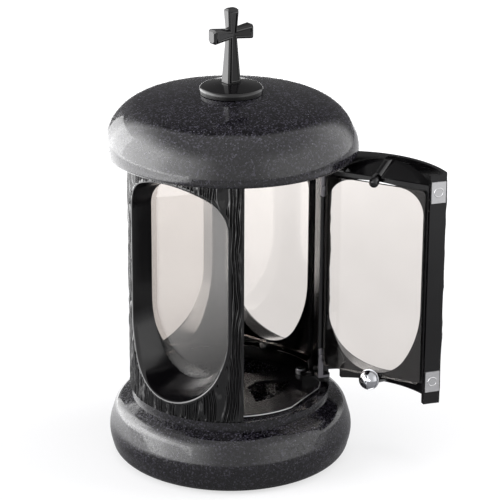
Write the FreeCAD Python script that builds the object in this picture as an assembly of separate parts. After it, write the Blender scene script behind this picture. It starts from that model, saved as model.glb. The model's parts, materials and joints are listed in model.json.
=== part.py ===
import FreeCAD
import Part
import math
import os
from FreeCAD import Vector

# Grave lantern: granite base and roof, four cast panels with windows, one of them a hinged door.
# Lengths are in millimetres. The origin is the centre of the base's underside, +Z is up, and the
# closed door faces -Y. The model rests with the door open, as the lantern is usually shown.

# Base stone
base_height = 44.0
base_foot_overhang = 11.6
base_foot_round = 7.7
base_side_overhang = 15.8
base_side_drop = 27.7
base_side_round = 22.0
base_shoulder_overhang = 10.5
base_shoulder_drop = 10.0
base_shoulder_round = 9.9
base_seat_drop = 5.3
base_well_margin = 1.7
base_well_depth = 12.0

# Roof stone
roof_overhang = 16.5
roof_seat_margin = 0.3
roof_lip_rise = 4.5
roof_lip_round = 2.2
roof_dome_rise = 35.5
roof_shoulder_round = 30.5

# Cast body
body_height = 160.0
body_radius = 65.0
shell_wall = 3.0
stile_wall = 3.4
stile_depth = 10.9
panel_seam = 0.3
reveal_wall = 2.2

# Plates that close the body below and above. They were fitted a few degrees round from the door.
plate_wall = 2.0
plate_gap = 3.0
plate_turn_angle = 6.3
plate_flat_setback = 8.7
vent_inner_radius = 16.5
vent_rim_setback = 25.2
spoke_width = 15.0
access_hole_radius = 12.0

# Inner plate of each panel, where the pane lies
frame_setback = 24.0
frame_wall = 2.2
frame_bottom_lift = 16.0
frame_top_drop = 9.5

# Window passage, at the inner plate and at a plane just outside the body. The shares are of the
# half width: how far each arched end rises, and the radius of its corners.
inner_margin = 8.5
inner_sill_lift = 17.5
inner_head_drop = 12.0
inner_head_shares = (0.554, 0.508)
inner_sill_shares = (1.508, 2.151)
mouth_standoff = 1.0
mouth_margin = 21.6
mouth_sill_lift = 9.6
mouth_head_drop = 4.4
mouth_head_shares = (0.68, 0.61)
mouth_sill_shares = (0.884, 0.586)

# Panes and the screws that hold them
pane_margin = 7.0
pane_thickness = 2.0
pane_gap = 0.1
pane_sill_overlap = 1.8
pane_head_gap = 0.9
pane_corner = 3.0
pane_screw_lift = 1.9
pane_knob_drop = 5.1
screw_boss_radius = 3.3
pane_screw_radius = 1.5
pane_screw_length = 12.0
pane_screw_head_radius = 3.1
pane_screw_head_height = 4.2
pane_knob_radius = 6.2
pane_knob_height = 5.2
pane_knob_edge = 2.0
pane_washer_radius = 6.8
pane_washer_wall = 1.0
recess_width = 1.1
recess_length = 5.6
recess_depth = 1.6

# Door
door_open_angle = 100.8
door_gap_low = 2.3
door_gap_high = 0.9
door_free_gap = 1.5
door_hinge_gap = 0.9
door_plate_gap = 0.4
tail_chamfer = 1.6

# Hinge
hinge_setback = 4.2
hinge_inset = 7.2
hinge_pin_radius = 1.6
hinge_pin_length = 18.0
hinge_boss_radius = 3.2
hinge_boss_height = 14.0
hinge_play = 0.3
lug_wall = 4.3
lug_length = 14.8
lug_eye_radius = 4.2
lug_screw_setback = 10.3
lug_screw_bite = 1.8
leaf_wall = 1.6
leaf_eye_radius = 3.4
leaf_strap_width = 3.3
leaf_sink = 0.95
leaf_strap_height = 21.0
leaf_screw_rise = 13.0
notch_length = 12.0

# Door catch
catch_width = 9.6
catch_height = 14.0
catch_wall = 1.6
catch_recess = 0.8
catch_edge_inset = 0.8
catch_low_lift = 18.0
catch_high_drop = 13.5
magnet_depth = 2.4
magnet_proud = 0.3
magnet_margin = 1.2
catch_screw_head_radius = 2.5

# Small fasteners
small_screw_radius = 1.0
small_screw_length = 2.3
small_head_radius = 1.4
small_head_height = 0.9
panel_screw_length = 9.0
sunk_screw_radius = 1.5
sunk_head_radius = 2.8
panel_screw_setback = 10.0
panel_screw_inset = 5.0
panel_boss_radius = 3.4
panel_boss_height = 10.0
anchor_setback = 17.0
anchor_radius = 4.0
anchor_length = 24.0
anchor_screw_radius = 2.0
anchor_screw_length = 22.0
anchor_head_radius = 3.4
anchor_head_height = 3.6
fit_gap = 0.05

# Cross, its foot and the stud that holds them
foot_radius = 20.4
foot_edge_height = 3.8
foot_edge_round = 1.3
foot_height = 6.4
foot_crown_radius = 7.4
foot_skirt = 2.0
cross_turn_angle = 17.0
cross_height = 47.6
cross_arm_level = 31.3
cross_span = 30.6
cross_foot_width = 10.0
cross_foot_thickness = 8.9
cross_waist_width = 6.0
cross_waist_thickness = 5.4
cross_top_width = 8.1
cross_top_thickness = 6.9
cross_arm_end_height = 9.2
cross_arm_end_thickness = 7.8
cross_end_crown = 1.1
cross_bevel = 1.1
stud_radius = 2.5
stud_in_cross = 8.0
stud_pocket_radius = 9.0
stud_pocket_depth = 8.0
stud_washer_radius = 7.0
stud_washer_wall = 1.2
stud_nut_radius = 5.2
stud_nut_height = 4.0

# One overrun serves every cut that has to pass a face
overrun = 2.0

# Levels that follow from the sizes above
body_bottom = base_height
body_top = body_bottom + body_height
floor_top = body_bottom + plate_wall
ceiling = body_top - plate_wall
door_bottom = body_bottom + door_gap_low
door_top = body_top - door_gap_high
frame_bottom = body_bottom + frame_bottom_lift
frame_top = body_top - frame_top_drop
inner_bottom = body_bottom + inner_sill_lift
inner_top = body_top - inner_head_drop
mouth_bottom = body_bottom + mouth_sill_lift
mouth_top = body_top - mouth_head_drop
pane_bottom = inner_bottom - pane_sill_overlap
pane_top = inner_top - pane_head_gap
pane_screw_level = inner_top + pane_screw_lift
pane_knob_level = inner_bottom - pane_knob_drop
notch_low = floor_top + lug_wall + leaf_wall + 2 * hinge_play
notch_high = ceiling - lug_wall - leaf_wall - 2 * hinge_play
roof_lip_level = body_top + roof_lip_rise
roof_top = roof_lip_level + roof_dome_rise

# Distances from the axis that follow from the body's radius
roof_radius = body_radius + roof_overhang
roof_seat_radius = body_radius + roof_seat_margin
shell_inner = body_radius - shell_wall
plate_radius = shell_inner - plate_gap
plate_flat = body_radius - plate_flat_setback
vent_outer_radius = body_radius - vent_rim_setback
anchor_reach = body_radius - anchor_setback
panel_screw_reach = body_radius - panel_screw_setback
stile_inner = body_radius - stile_depth
frame_distance = body_radius - frame_setback
mouth_distance = body_radius + mouth_standoff
pane_outer = frame_distance - pane_gap
pane_inner = pane_outer - pane_thickness
hinge_reach = body_radius - hinge_setback
lug_root_reach = hinge_reach - lug_length
lug_screw_reach = hinge_reach - lug_screw_setback
leaf_seat = stile_inner + leaf_sink
leaf_outer = leaf_seat - fit_gap
leaf_inner = leaf_outer - leaf_wall

# Other sizes that follow
inner_half = frame_distance - inner_margin
mouth_half = mouth_distance - mouth_margin
pane_half = frame_distance - pane_margin
half_seam = panel_seam / 2
lug_screw_length = lug_wall + lug_screw_bite
leaf_edge = -door_hinge_gap - fit_gap
leaf_starts = ((notch_low, 1), (notch_high, -1))
reveal_slope = (mouth_top - inner_top) / (mouth_distance - frame_distance)
diagonal_share = math.sqrt(0.5)
upright = Vector(0, 0, 1)
centre = Vector(0, 0, 0)
full_turn = 360.0
quarter_turn = full_turn / 4

nodes = {}


# Drawing helpers

def arch(half, rise, side_radius):
    """Three arcs that span 2 x half and rise to a crown. Gives the crown's radius and one join."""
    crown_radius = (half ** 2 + rise ** 2 - 2 * half * side_radius) / (2 * (rise - side_radius))
    across = half - side_radius
    down = crown_radius - rise
    reach = math.hypot(across, down)
    way = 1 if crown_radius > side_radius else -1
    join_x = crown_radius * way * across / reach
    join_y = rise - crown_radius + crown_radius * way * down / reach
    return crown_radius, join_x, join_y


def side_arc_middle(half, side_radius, join_x, join_y):
    """Middle point of the arc that runs from (half, 0) to the join."""
    start = half - side_radius
    angle = math.atan2(join_y, join_x - start) / 2
    return start + side_radius * math.cos(angle), side_radius * math.sin(angle)


def window_wire(half, head, sill, distance):
    """Closed window outline in the upright plane at this distance from the axis, facing -Y.

    Head and sill are each a level, the rise of the arched end and the radius of its corners."""
    edges = []
    top, top_rise, top_round = head
    bottom, bottom_rise, bottom_round = sill

    def place(x, z):
        return Vector(x, -distance, z)

    def half_outline(spring, rise, side_radius, way):
        crown_radius, join_x, join_y = arch(half, rise, side_radius)
        mid_x, mid_y = side_arc_middle(half, side_radius, join_x, join_y)
        middle_level = spring + way * mid_y
        join_level = spring + way * join_y
        right = (place(half, spring), place(mid_x, middle_level), place(join_x, join_level))
        left = (place(-join_x, join_level), place(-mid_x, middle_level), place(-half, spring))
        crown = (right[2], place(0, spring + way * rise), left[0])
        return [Part.Arc(*right).toShape(), Part.Arc(*crown).toShape(), Part.Arc(*left).toShape()]

    top_spring = top - top_rise
    bottom_spring = bottom + bottom_rise
    edges += half_outline(top_spring, top_rise, top_round, 1)
    edges.append(Part.LineSegment(place(-half, top_spring), place(-half, bottom_spring)).toShape())
    lower = half_outline(bottom_spring, bottom_rise, bottom_round, -1)
    edges += [lower[2], lower[1], lower[0]]
    edges.append(Part.LineSegment(place(half, bottom_spring), place(half, top_spring)).toShape())
    return Part.Wire(Part.sortEdges(edges)[0])


def rounded_face(corners, place):
    """Face inside a closed outline whose corners are (x, y, radius)."""
    starts = []
    ends = []
    arcs = []
    count = len(corners)
    for index, (x, y, radius) in enumerate(corners):
        before = corners[index - 1]
        after = corners[(index + 1) % count]
        here = Vector(x, y, 0)
        back = (Vector(before[0], before[1], 0) - here).normalize()
        ahead = (Vector(after[0], after[1], 0) - here).normalize()
        if radius == 0:
            starts.append(here)
            ends.append(here)
            arcs.append(None)
            continue
        half_angle = back.getAngle(ahead) / 2
        bisector = (back + ahead).normalize()
        middle = here + bisector * (radius / math.sin(half_angle) - radius)
        length = radius / math.tan(half_angle)
        starts.append(here + back * length)
        ends.append(here + ahead * length)
        arcs.append(middle)
    edges = []
    for index in range(count):
        if arcs[index] is not None:
            points = [place(p.x, p.y) for p in (starts[index], arcs[index], ends[index])]
            edges.append(Part.Arc(*points).toShape())
        following = (index + 1) % count
        if not ends[index].isEqual(starts[following], 1e-6):
            line = Part.LineSegment(place(ends[index].x, ends[index].y),
                                    place(starts[following].x, starts[following].y))
            edges.append(line.toShape())
    return Part.Face(Part.Wire(edges))


def turned(corners):
    """Solid of revolution about the Z axis from (radius, level, rounding) corners."""
    face = rounded_face(corners, lambda x, y: Vector(x, 0, y))
    return face.revolve(centre, upright, full_turn)


def prism(points, bottom, top):
    """Upright prism over a closed list of plan points."""
    outline = [Vector(p.x, p.y, bottom) for p in points]
    face = Part.Face(Part.makePolygon(outline + outline[:1]))
    return face.extrude(Vector(0, 0, top - bottom))


def cylinder(radius, bottom, top, x=0, y=0):
    return Part.makeCylinder(radius, top - bottom, Vector(x, y, bottom), upright)


def ring(inner, outer, bottom, top):
    return cylinder(outer, bottom, top).cut(cylinder(inner, bottom - overrun, top + overrun))


def diagonal_point(reach, depth, side):
    """Plan point along a diagonal. Depth is past the diagonal, away from the panel facing -Y."""
    return Vector(side * diagonal_share * (reach + depth), diagonal_share * (depth - reach), 0)


def diagonal_normal(side):
    return Vector(side * diagonal_share, diagonal_share, 0)


def block(reach_1, reach_2, depth_1, depth_2, bottom, top, side):
    """Box that lies square to a diagonal."""
    points = [diagonal_point(reach_1, depth_1, side), diagonal_point(reach_2, depth_1, side),
              diagonal_point(reach_2, depth_2, side), diagonal_point(reach_1, depth_2, side)]
    return prism(points, bottom, top)


def wedge(free_gap, hinge_gap, bottom, top):
    """Plan quarter that faces -Y, drawn in from its two diagonals by the gaps."""
    reach = 2 * body_radius
    apex = Vector(diagonal_share * (free_gap - hinge_gap), -diagonal_share * (free_gap + hinge_gap), 0)
    points = [apex, diagonal_point(reach, -hinge_gap, 1), diagonal_point(reach, -free_gap, -1)]
    return prism(points, bottom, top)


def aimed(shape, direction, at):
    """Copy of a shape built along +Z, turned to a direction and moved to a point."""
    placed = shape.copy()
    placed.Placement = FreeCAD.Placement(at, FreeCAD.Rotation(upright, direction))
    return placed


def turned_by(shape, angle):
    """Copy of a shape turned about the lantern's axis."""
    copy = shape.copy()
    copy.rotate(centre, upright, angle)
    return copy


def screw(head_radius, head_height, head_round, shank_radius, length):
    """Screw with its seat at the origin and its shank along +Z."""
    return turned([(0, -head_height, 0), (head_radius, -head_height, head_round), (head_radius, 0, 0),
                   (shank_radius, 0, 0), (shank_radius, length, 0), (0, length, 0)])


# Stones

def make_base_stone():
    stone = turned([(0, 0, 0), (body_radius + base_foot_overhang, 0, base_foot_round),
                    (body_radius + base_side_overhang, base_height - base_side_drop, base_side_round),
                    (body_radius + base_shoulder_overhang, base_height - base_shoulder_drop,
                     base_shoulder_round),
                    (body_radius, base_height - base_seat_drop, 0), (body_radius, base_height, 0),
                    (0, base_height, 0)])
    stone = stone.cut(cylinder(vent_outer_radius + base_well_margin, base_height - base_well_depth,
                               base_height + overrun))
    for x, y in anchor_places():
        stone = stone.cut(cylinder(anchor_radius + fit_gap, base_height - anchor_length - fit_gap,
                                   base_height + overrun, x, y))
    return stone


def make_roof_stone():
    crown_radius, join_x, join_y = arch(roof_radius, roof_dome_rise, roof_shoulder_round)
    mid_x, mid_y = side_arc_middle(roof_radius, roof_shoulder_round, join_x, join_y)
    crown_angle = math.asin(join_x / crown_radius) / 2
    crown_centre = roof_top - crown_radius
    lip_half = roof_radius - roof_seat_radius
    lip_crown, lip_x, lip_y = arch(lip_half, roof_lip_rise, roof_lip_round)
    lip_mid_x, lip_mid_y = side_arc_middle(lip_half, roof_lip_round, lip_x, lip_y)
    lip_angle = math.asin(lip_x / lip_crown) / 2
    lip_centre = body_top + lip_crown

    def at(radius, level):
        return Vector(radius, 0, level)

    rim = at(roof_radius, roof_lip_level)
    shoulder = at(join_x, roof_lip_level + join_y)
    apex = at(0, roof_top)
    lip_join = at(roof_seat_radius + lip_x, roof_lip_level - lip_y)
    seat = at(roof_seat_radius, body_top)
    hub = at(0, body_top)
    crown_middle = at(crown_radius * math.sin(crown_angle),
                      crown_centre + crown_radius * math.cos(crown_angle))
    lip_middle = at(roof_seat_radius + lip_crown * math.sin(lip_angle),
                    lip_centre - lip_crown * math.cos(lip_angle))
    lip_round_middle = at(roof_seat_radius + lip_mid_x, roof_lip_level - lip_mid_y)
    edges = [Part.LineSegment(hub, seat).toShape(),
             Part.Arc(seat, lip_middle, lip_join).toShape(),
             Part.Arc(lip_join, lip_round_middle, rim).toShape(),
             Part.Arc(rim, at(mid_x, roof_lip_level + mid_y), shoulder).toShape(),
             Part.Arc(shoulder, crown_middle, apex).toShape(),
             Part.LineSegment(apex, hub).toShape()]
    stone = Part.Face(Part.Wire(edges)).revolve(centre, upright, full_turn)
    stone = stone.cut(cylinder(stud_radius + fit_gap, body_top, roof_top + overrun))
    stone = stone.cut(cylinder(stud_pocket_radius, body_top - overrun, body_top + stud_pocket_depth))
    for x, y in anchor_places():
        stone = stone.cut(cylinder(anchor_radius + fit_gap, body_top - overrun,
                                   body_top + anchor_length + fit_gap, x, y))
    return stone


def anchor_places():
    """Plan places of the two screws that hold a plate to its stone, on opposite spokes."""
    spoke = diagonal_point(anchor_reach, 0, 1)
    places = []
    for angle in (plate_turn_angle, plate_turn_angle + full_turn / 2):
        point = FreeCAD.Rotation(upright, angle).multVec(spoke)
        places.append((point.x, point.y))
    return places


def make_anchors(level, way):
    """Sleeves sunk in a stone from this level, up or down."""
    sleeves = []
    for x, y in anchor_places():
        low, high = sorted((level, level + way * anchor_length))
        sleeve = cylinder(anchor_radius, low, high, x, y)
        bore = cylinder(anchor_screw_radius + fit_gap, low - overrun, high + overrun, x, y)
        sleeves.append(sleeve.cut(bore))
    return Part.makeCompound(sleeves)


def make_anchor_screws(level, way):
    """Pan-head screws that hold a plate to its stone."""
    body = screw(anchor_head_radius, anchor_head_height, anchor_head_height / 3, anchor_screw_radius,
                 anchor_screw_length)
    return Part.makeCompound([aimed(body, Vector(0, 0, way), Vector(x, y, level))
                              for x, y in anchor_places()])


# Plates

def panel_screw_places():
    """Plan points of the screws that hold the three fixed panels."""
    places = []
    for quarter in (1, 2, 3):
        for side in (-1, 1):
            point = diagonal_point(panel_screw_reach, -panel_screw_inset, side)
            places.append(FreeCAD.Rotation(upright, quarter * quarter_turn).multVec(point))
    return places


def hinge_point(level):
    point = diagonal_point(hinge_reach, -hinge_inset, 1)
    return Vector(point.x, point.y, level)


def lug_screw_point(level):
    point = diagonal_point(lug_screw_reach, -hinge_inset, 1)
    return Vector(point.x, point.y, level)


def sunk_screw(length, extra=0):
    """Flush-headed screw along +Z. Extra grows it into the cutter for its own hole."""
    sink = sunk_head_radius - sunk_screw_radius
    head = sunk_head_radius + extra
    shank = sunk_screw_radius + extra
    tip = length + extra
    return turned([(0, 0, 0), (head, 0, 0), (shank, sink, 0), (shank, tip, 0), (0, tip, 0)])


def drill_plate(plate, bottom, top, seat_level, way):
    """Holes for the stone screws, the panel screws and the lug screw."""
    for x, y in anchor_places():
        plate = plate.cut(cylinder(anchor_screw_radius + fit_gap, bottom - overrun, top + overrun, x, y))
    cutter = sunk_screw(panel_screw_length, fit_gap)
    for point in panel_screw_places():
        plate = plate.cut(aimed(cutter, Vector(0, 0, way), Vector(point.x, point.y, seat_level)))
    lug = lug_screw_point(bottom)
    return plate.cut(cylinder(sunk_screw_radius + fit_gap, bottom - overrun, top + overrun, lug.x, lug.y))


def make_floor_plate():
    """Round plate with four vents and a flat at the doorway."""
    plate = cylinder(plate_radius, body_bottom, floor_top)
    beyond = Part.makeBox(2 * plate_radius, plate_radius, plate_wall + 2 * overrun,
                          Vector(-plate_radius, -plate_flat - plate_radius, body_bottom - overrun))
    plate = plate.cut(turned_by(beyond, plate_turn_angle))
    vent = ring(vent_inner_radius, vent_outer_radius, body_bottom - overrun, floor_top + overrun)
    vent = vent.common(wedge(spoke_width / 2, spoke_width / 2, body_bottom - overrun, floor_top + overrun))
    for quarter in range(4):
        plate = plate.cut(turned_by(vent, plate_turn_angle + quarter * quarter_turn))
    return drill_plate(plate, body_bottom, floor_top, body_bottom, 1)


def make_top_plate():
    plate = ring(access_hole_radius, plate_radius, ceiling, body_top)
    return drill_plate(plate, ceiling, body_top, body_top, -1)


def make_panel_screws(seat_level, way):
    """Six countersunk screws through a plate into the panels' bosses."""
    body = sunk_screw(panel_screw_length)
    return Part.makeCompound([aimed(body, Vector(0, 0, way), Vector(p.x, p.y, seat_level))
                              for p in panel_screw_places()])


# Panels

def passage(extra, start, end):
    """Tapered window tunnel between two distances from the axis, grown all round by extra."""
    wires = []
    for distance in (start, end):
        share = (distance - frame_distance) / (mouth_distance - frame_distance)

        def between(inner, outer):
            return inner + (outer - inner) * share

        def arched_end(inner_level, mouth_level, inner_shares, mouth_shares, way):
            sizes = [between(inner_half * inner_part, mouth_half * mouth_part) + extra
                     for inner_part, mouth_part in zip(inner_shares, mouth_shares)]
            return [between(inner_level, mouth_level) + way * extra] + sizes

        head = arched_end(inner_top, mouth_top, inner_head_shares, mouth_head_shares, 1)
        sill = arched_end(inner_bottom, mouth_bottom, inner_sill_shares, mouth_sill_shares, -1)
        wires.append(window_wire(between(inner_half, mouth_half) + extra, head, sill, distance))
    return Part.makeLoft(wires, True, True)


def screw_axis(level, way):
    """Start at the inner plate and direction outwards of a pane screw that follows the reveal."""
    return Vector(0, -frame_distance, level), Vector(0, -1, way * reveal_slope).normalize()


def screw_boss(level, way):
    start, direction = screw_axis(level, way)
    length = (shell_inner + shell_wall / 2 - frame_distance) / -direction.y
    boss = Part.makeCylinder(screw_boss_radius, length, start, direction)
    front = Part.makeBox(2 * body_radius, frame_distance, body_height,
                         Vector(-body_radius, -frame_distance, body_bottom))
    return boss.cut(front)


def screw_hole(level, way):
    start, direction = screw_axis(level, way)
    return Part.makeCylinder(pane_screw_radius + fit_gap, pane_screw_length + overrun,
                             start - direction * overrun, direction)


def make_casting(free_gap, hinge_gap, shell_bottom, shell_top, stile_bottom, stile_top):
    """Curved shell, edge stiles, inner plate and tapered reveal, as one casting that faces -Y."""
    body = ring(shell_inner, body_radius, shell_bottom, shell_top)
    body = body.common(wedge(free_gap, hinge_gap, shell_bottom, shell_top))
    stiles = ring(stile_inner, body_radius - shell_wall / 2, stile_bottom, stile_top)
    stiles = stiles.common(wedge(free_gap, hinge_gap, stile_bottom, stile_top))
    stiles = stiles.cut(wedge(free_gap + stile_wall, hinge_gap + stile_wall,
                              stile_bottom - overrun, stile_top + overrun))
    body = body.fuse(stiles)
    frame = Part.makeBox(2 * body_radius, frame_wall, frame_top - frame_bottom,
                         Vector(-body_radius, -frame_distance - frame_wall, frame_bottom))
    half_stile = stile_wall / 2
    frame = frame.common(wedge(free_gap + half_stile, hinge_gap + half_stile, frame_bottom, frame_top))
    body = body.fuse(frame)
    skin = passage(reveal_wall, frame_distance, mouth_distance)
    skin = skin.common(cylinder(body_radius - shell_wall / 2, body_bottom, body_top))
    bosses = screw_boss(pane_screw_level, 1).fuse(screw_boss(pane_knob_level, -1))
    body = body.fuse([skin, bosses.common(cylinder(body_radius, stile_bottom, stile_top))])
    body = body.cut(passage(0, frame_distance - overrun, mouth_distance + overrun))
    body = body.cut(screw_hole(pane_screw_level, 1))
    body = body.cut(screw_hole(pane_knob_level, -1))
    return body.removeSplitter()


def make_fixed_panel():
    panel = make_casting(half_seam, half_seam, body_bottom, body_top, floor_top, ceiling)
    for side in (-1, 1):
        point = diagonal_point(panel_screw_reach, -panel_screw_inset, side)
        for low, high in ((floor_top, floor_top + panel_boss_height), (ceiling - panel_boss_height, ceiling)):
            panel = panel.fuse(cylinder(panel_boss_radius, low, high, point.x, point.y))
            panel = panel.cut(cylinder(sunk_screw_radius + fit_gap, low - fit_gap, high + fit_gap,
                                       point.x, point.y))
    return panel.removeSplitter()


def catch_levels():
    return (body_bottom + catch_low_lift, body_top - catch_high_drop)


def catch_block(depth_1, depth_2, level, extra=0):
    """Box at the door's free edge, square to its diagonal, round a catch level."""
    outer = body_radius - catch_edge_inset
    return block(outer - catch_width - extra, outer + extra, depth_1, depth_2,
                 level - catch_height / 2 - extra, level + catch_height / 2 + extra, -1)


def make_left_panel(panel):
    """Left panel with pockets for the magnets, in the plan where the door faces -Y."""
    left = turned_by(panel, -quarter_turn)
    for level in catch_levels():
        left = left.cut(catch_block(half_seam - overrun, half_seam + magnet_depth - magnet_proud, level,
                                    fit_gap - magnet_margin))
    return left


def make_catch_magnets():
    return Part.makeCompound([catch_block(half_seam - magnet_proud, half_seam + magnet_depth - magnet_proud,
                                          level, -magnet_margin) for level in catch_levels()])


def make_pane():
    face = rounded_face([(-pane_half, pane_bottom, pane_corner), (pane_half, pane_bottom, pane_corner),
                         (pane_half, pane_top, pane_corner), (-pane_half, pane_top, pane_corner)],
                        lambda x, y: Vector(x, -pane_outer, y))
    return face.extrude(Vector(0, pane_thickness, 0))


def seat_point(level, way, head_radius):
    """Point on a screw's axis where a seat of this radius just clears the pane."""
    start, direction = screw_axis(level, way)
    dip = head_radius * abs(direction.z)
    back = (frame_distance - pane_inner + fit_gap + dip) / -direction.y
    return start - direction * back, direction


def make_pane_screw(level, way):
    seat, direction = seat_point(level, way, pane_screw_head_radius)
    body = screw(pane_screw_head_radius, pane_screw_head_height, pane_screw_head_height / 2,
                 pane_screw_radius, pane_screw_length)
    return aimed(body, direction, seat)


def make_pane_washer():
    seat, direction = seat_point(pane_knob_level, -1, pane_washer_radius)
    washer = turned([(pane_screw_radius + fit_gap, -pane_washer_wall, 0),
                     (pane_washer_radius, -pane_washer_wall, pane_washer_wall / 3),
                     (pane_washer_radius, 0, 0), (pane_screw_radius + fit_gap, 0, 0)])
    return aimed(washer, direction, seat)


def make_pane_knob():
    """Round-headed knob screw with a cross recess in its crown."""
    seat, direction = seat_point(pane_knob_level, -1, pane_washer_radius)
    crown = pane_knob_height - pane_knob_edge
    crown_radius = (pane_knob_radius ** 2 + crown ** 2) / (2 * crown)
    tip = Vector(0, 0, -pane_knob_height)
    edge = Vector(pane_knob_radius, 0, -pane_knob_edge)
    half_angle = math.asin(pane_knob_radius / crown_radius) / 2
    middle = Vector(crown_radius * math.sin(half_angle), 0,
                    -pane_knob_height + crown_radius * (1 - math.cos(half_angle)))
    corners = [edge, Vector(pane_knob_radius, 0, 0), Vector(pane_screw_radius, 0, 0),
               Vector(pane_screw_radius, 0, pane_screw_length), Vector(0, 0, pane_screw_length), tip]
    edges = [Part.Arc(tip, middle, edge).toShape()]
    edges += [Part.LineSegment(a, b).toShape() for a, b in zip(corners, corners[1:])]
    knob = Part.Face(Part.Wire(edges)).revolve(centre, upright, full_turn)
    for angle in (0, quarter_turn):
        slot = Part.makeBox(recess_length, recess_width, recess_depth + overrun,
                            Vector(-recess_length / 2, -recess_width / 2, -pane_knob_height - overrun))
        slot.rotate(centre, upright, angle)
        knob = knob.cut(slot)
    return aimed(knob, direction, seat - direction * pane_washer_wall)


# Door, built closed and turned open at the end

def hinge_bore(radius, bottom, top):
    point = hinge_point(0)
    return cylinder(radius, bottom, top, point.x, point.y)


def make_door_panel():
    door = make_casting(door_free_gap, door_hinge_gap, door_bottom, door_top,
                        floor_top + door_plate_gap, ceiling - door_plate_gap)
    notch_end = -hinge_inset - notch_length
    for low, high in ((body_bottom, notch_low), (notch_high, body_top)):
        door = door.cut(block(lug_root_reach, body_radius + overrun, overrun, notch_end, low, high, 1))
    for start, way in leaf_starts:
        low, high = sorted((start, start + way * hinge_boss_height))
        door = door.fuse(hinge_bore(hinge_boss_radius, low, high))
        door = door.cut(hinge_bore(hinge_pin_radius + fit_gap, low - fit_gap, high + fit_gap))
    corner = [diagonal_point(body_radius - tail_chamfer, -door_hinge_gap, 1),
              diagonal_point(body_radius + overrun, -door_hinge_gap, 1),
              diagonal_point(body_radius + overrun, -door_hinge_gap - tail_chamfer - overrun, 1)]
    door = door.cut(prism(corner, body_bottom, body_top))
    for level in catch_levels():
        door = door.cut(catch_block(overrun, -door_free_gap - catch_recess, level, fit_gap))
        door = door.cut(catch_screw_hole(level))
    for start, way in leaf_starts:
        door = door.cut(leaf_pocket(start, way))
        door = door.cut(leaf_screw_hole(start, way))
    return door.removeSplitter()


def catch_face_depth():
    return -door_free_gap - catch_recess + catch_wall


def catch_screw_body(extra):
    head = small_head_height + extra
    return turned([(0, -head, 0), (catch_screw_head_radius + extra, -head, 0),
                   (catch_screw_head_radius + extra, 0, 0), (small_screw_radius + extra, 0, 0),
                   (small_screw_radius + extra, small_screw_length + catch_wall / 2, 0),
                   (0, small_screw_length + catch_wall / 2, 0)])


def catch_screw_at(level, extra):
    """Screw sunk half its plate deep in a catch plate."""
    point = diagonal_point(body_radius - catch_edge_inset - catch_width / 2,
                           catch_face_depth() - catch_wall / 2, -1)
    return aimed(catch_screw_body(extra), -diagonal_normal(-1), Vector(point.x, point.y, level))


def catch_screw_hole(level):
    return catch_screw_at(level, fit_gap)


def make_catch_plates():
    plates = []
    for level in catch_levels():
        plate = catch_block(-door_free_gap - catch_recess, catch_face_depth(), level)
        plates.append(plate.cut(catch_screw_at(level, fit_gap)))
    return Part.makeCompound(plates)


def make_catch_screws():
    return Part.makeCompound([catch_screw_at(level, 0) for level in catch_levels()])


def leaf_tip(start, way):
    """Level where the strap ends. The tab's far side is its start."""
    return start - way * (hinge_play + leaf_wall) + way * leaf_strap_height


def leaf_pocket(start, way):
    """Flat seat for a leaf's strap in the door's inner corner."""
    low, high = sorted((start - way * overrun, leaf_tip(start, way) + way * fit_gap))
    return block(leaf_inner - overrun, leaf_seat, overrun, leaf_edge - leaf_strap_width - fit_gap,
                 low, high, 1)


def leaf_screw_seat(start, way):
    level = start + way * leaf_screw_rise
    point = diagonal_point(leaf_inner, -door_hinge_gap - stile_wall / 2, 1)
    return Vector(point.x, point.y, level)


def leaf_screw_direction():
    return diagonal_point(1, 0, 1)


def leaf_screw_hole(start, way):
    seat = leaf_screw_seat(start, way)
    return Part.makeCylinder(small_screw_radius + fit_gap, leaf_wall + small_screw_length + overrun,
                             seat, leaf_screw_direction())


def make_hinge_leaf(start, way):
    """Bent leaf: an eye on the pin, a tab, and a strap with a rounded end up the inside of the edge."""
    near = start - way * hinge_play
    far = near - way * leaf_wall
    low, high = sorted((near, far))
    tab = block(leaf_inner, hinge_reach, leaf_edge, -hinge_inset - leaf_eye_radius / 2, low, high, 1)
    leaf = tab.fuse(hinge_bore(leaf_eye_radius, low, high))
    shoulder = leaf_tip(start, way) - way * leaf_strap_width / 2
    strap_low, strap_high = sorted((far, shoulder))
    strap = block(leaf_inner, leaf_outer, leaf_edge, leaf_edge - leaf_strap_width, strap_low, strap_high, 1)
    cap_point = diagonal_point(leaf_inner, leaf_edge - leaf_strap_width / 2, 1)
    cap = Part.makeCylinder(leaf_strap_width / 2, leaf_wall, Vector(cap_point.x, cap_point.y, shoulder),
                            leaf_screw_direction())
    leaf = leaf.fuse([strap, cap])
    leaf = leaf.cut(hinge_bore(hinge_pin_radius + fit_gap, low - overrun, high + overrun))
    return leaf.cut(leaf_screw_hole(start, way)).removeSplitter()


def make_leaf_screws():
    body = screw(small_head_radius, small_head_height, small_head_height / 3, small_screw_radius,
                 leaf_wall + small_screw_length)
    return Part.makeCompound([aimed(body, leaf_screw_direction(), leaf_screw_seat(start, way))
                              for start, way in leaf_starts])


def make_hinge_lug(plate_level, way):
    """Fixed lug on a plate, with an eye that holds the pin."""
    low, high = sorted((plate_level, plate_level + way * lug_wall))
    arm = block(lug_root_reach, hinge_reach, -hinge_inset + lug_eye_radius, -hinge_inset - lug_eye_radius,
                low, high, 1)
    lug = arm.fuse(hinge_bore(lug_eye_radius, low, high))
    lug = lug.cut(hinge_bore(hinge_pin_radius, low - overrun, high + overrun))
    hole = aimed(sunk_screw(lug_screw_length, fit_gap), Vector(0, 0, -way),
                 lug_screw_point(plate_level + way * lug_wall))
    return lug.cut(hole).removeSplitter()


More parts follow.
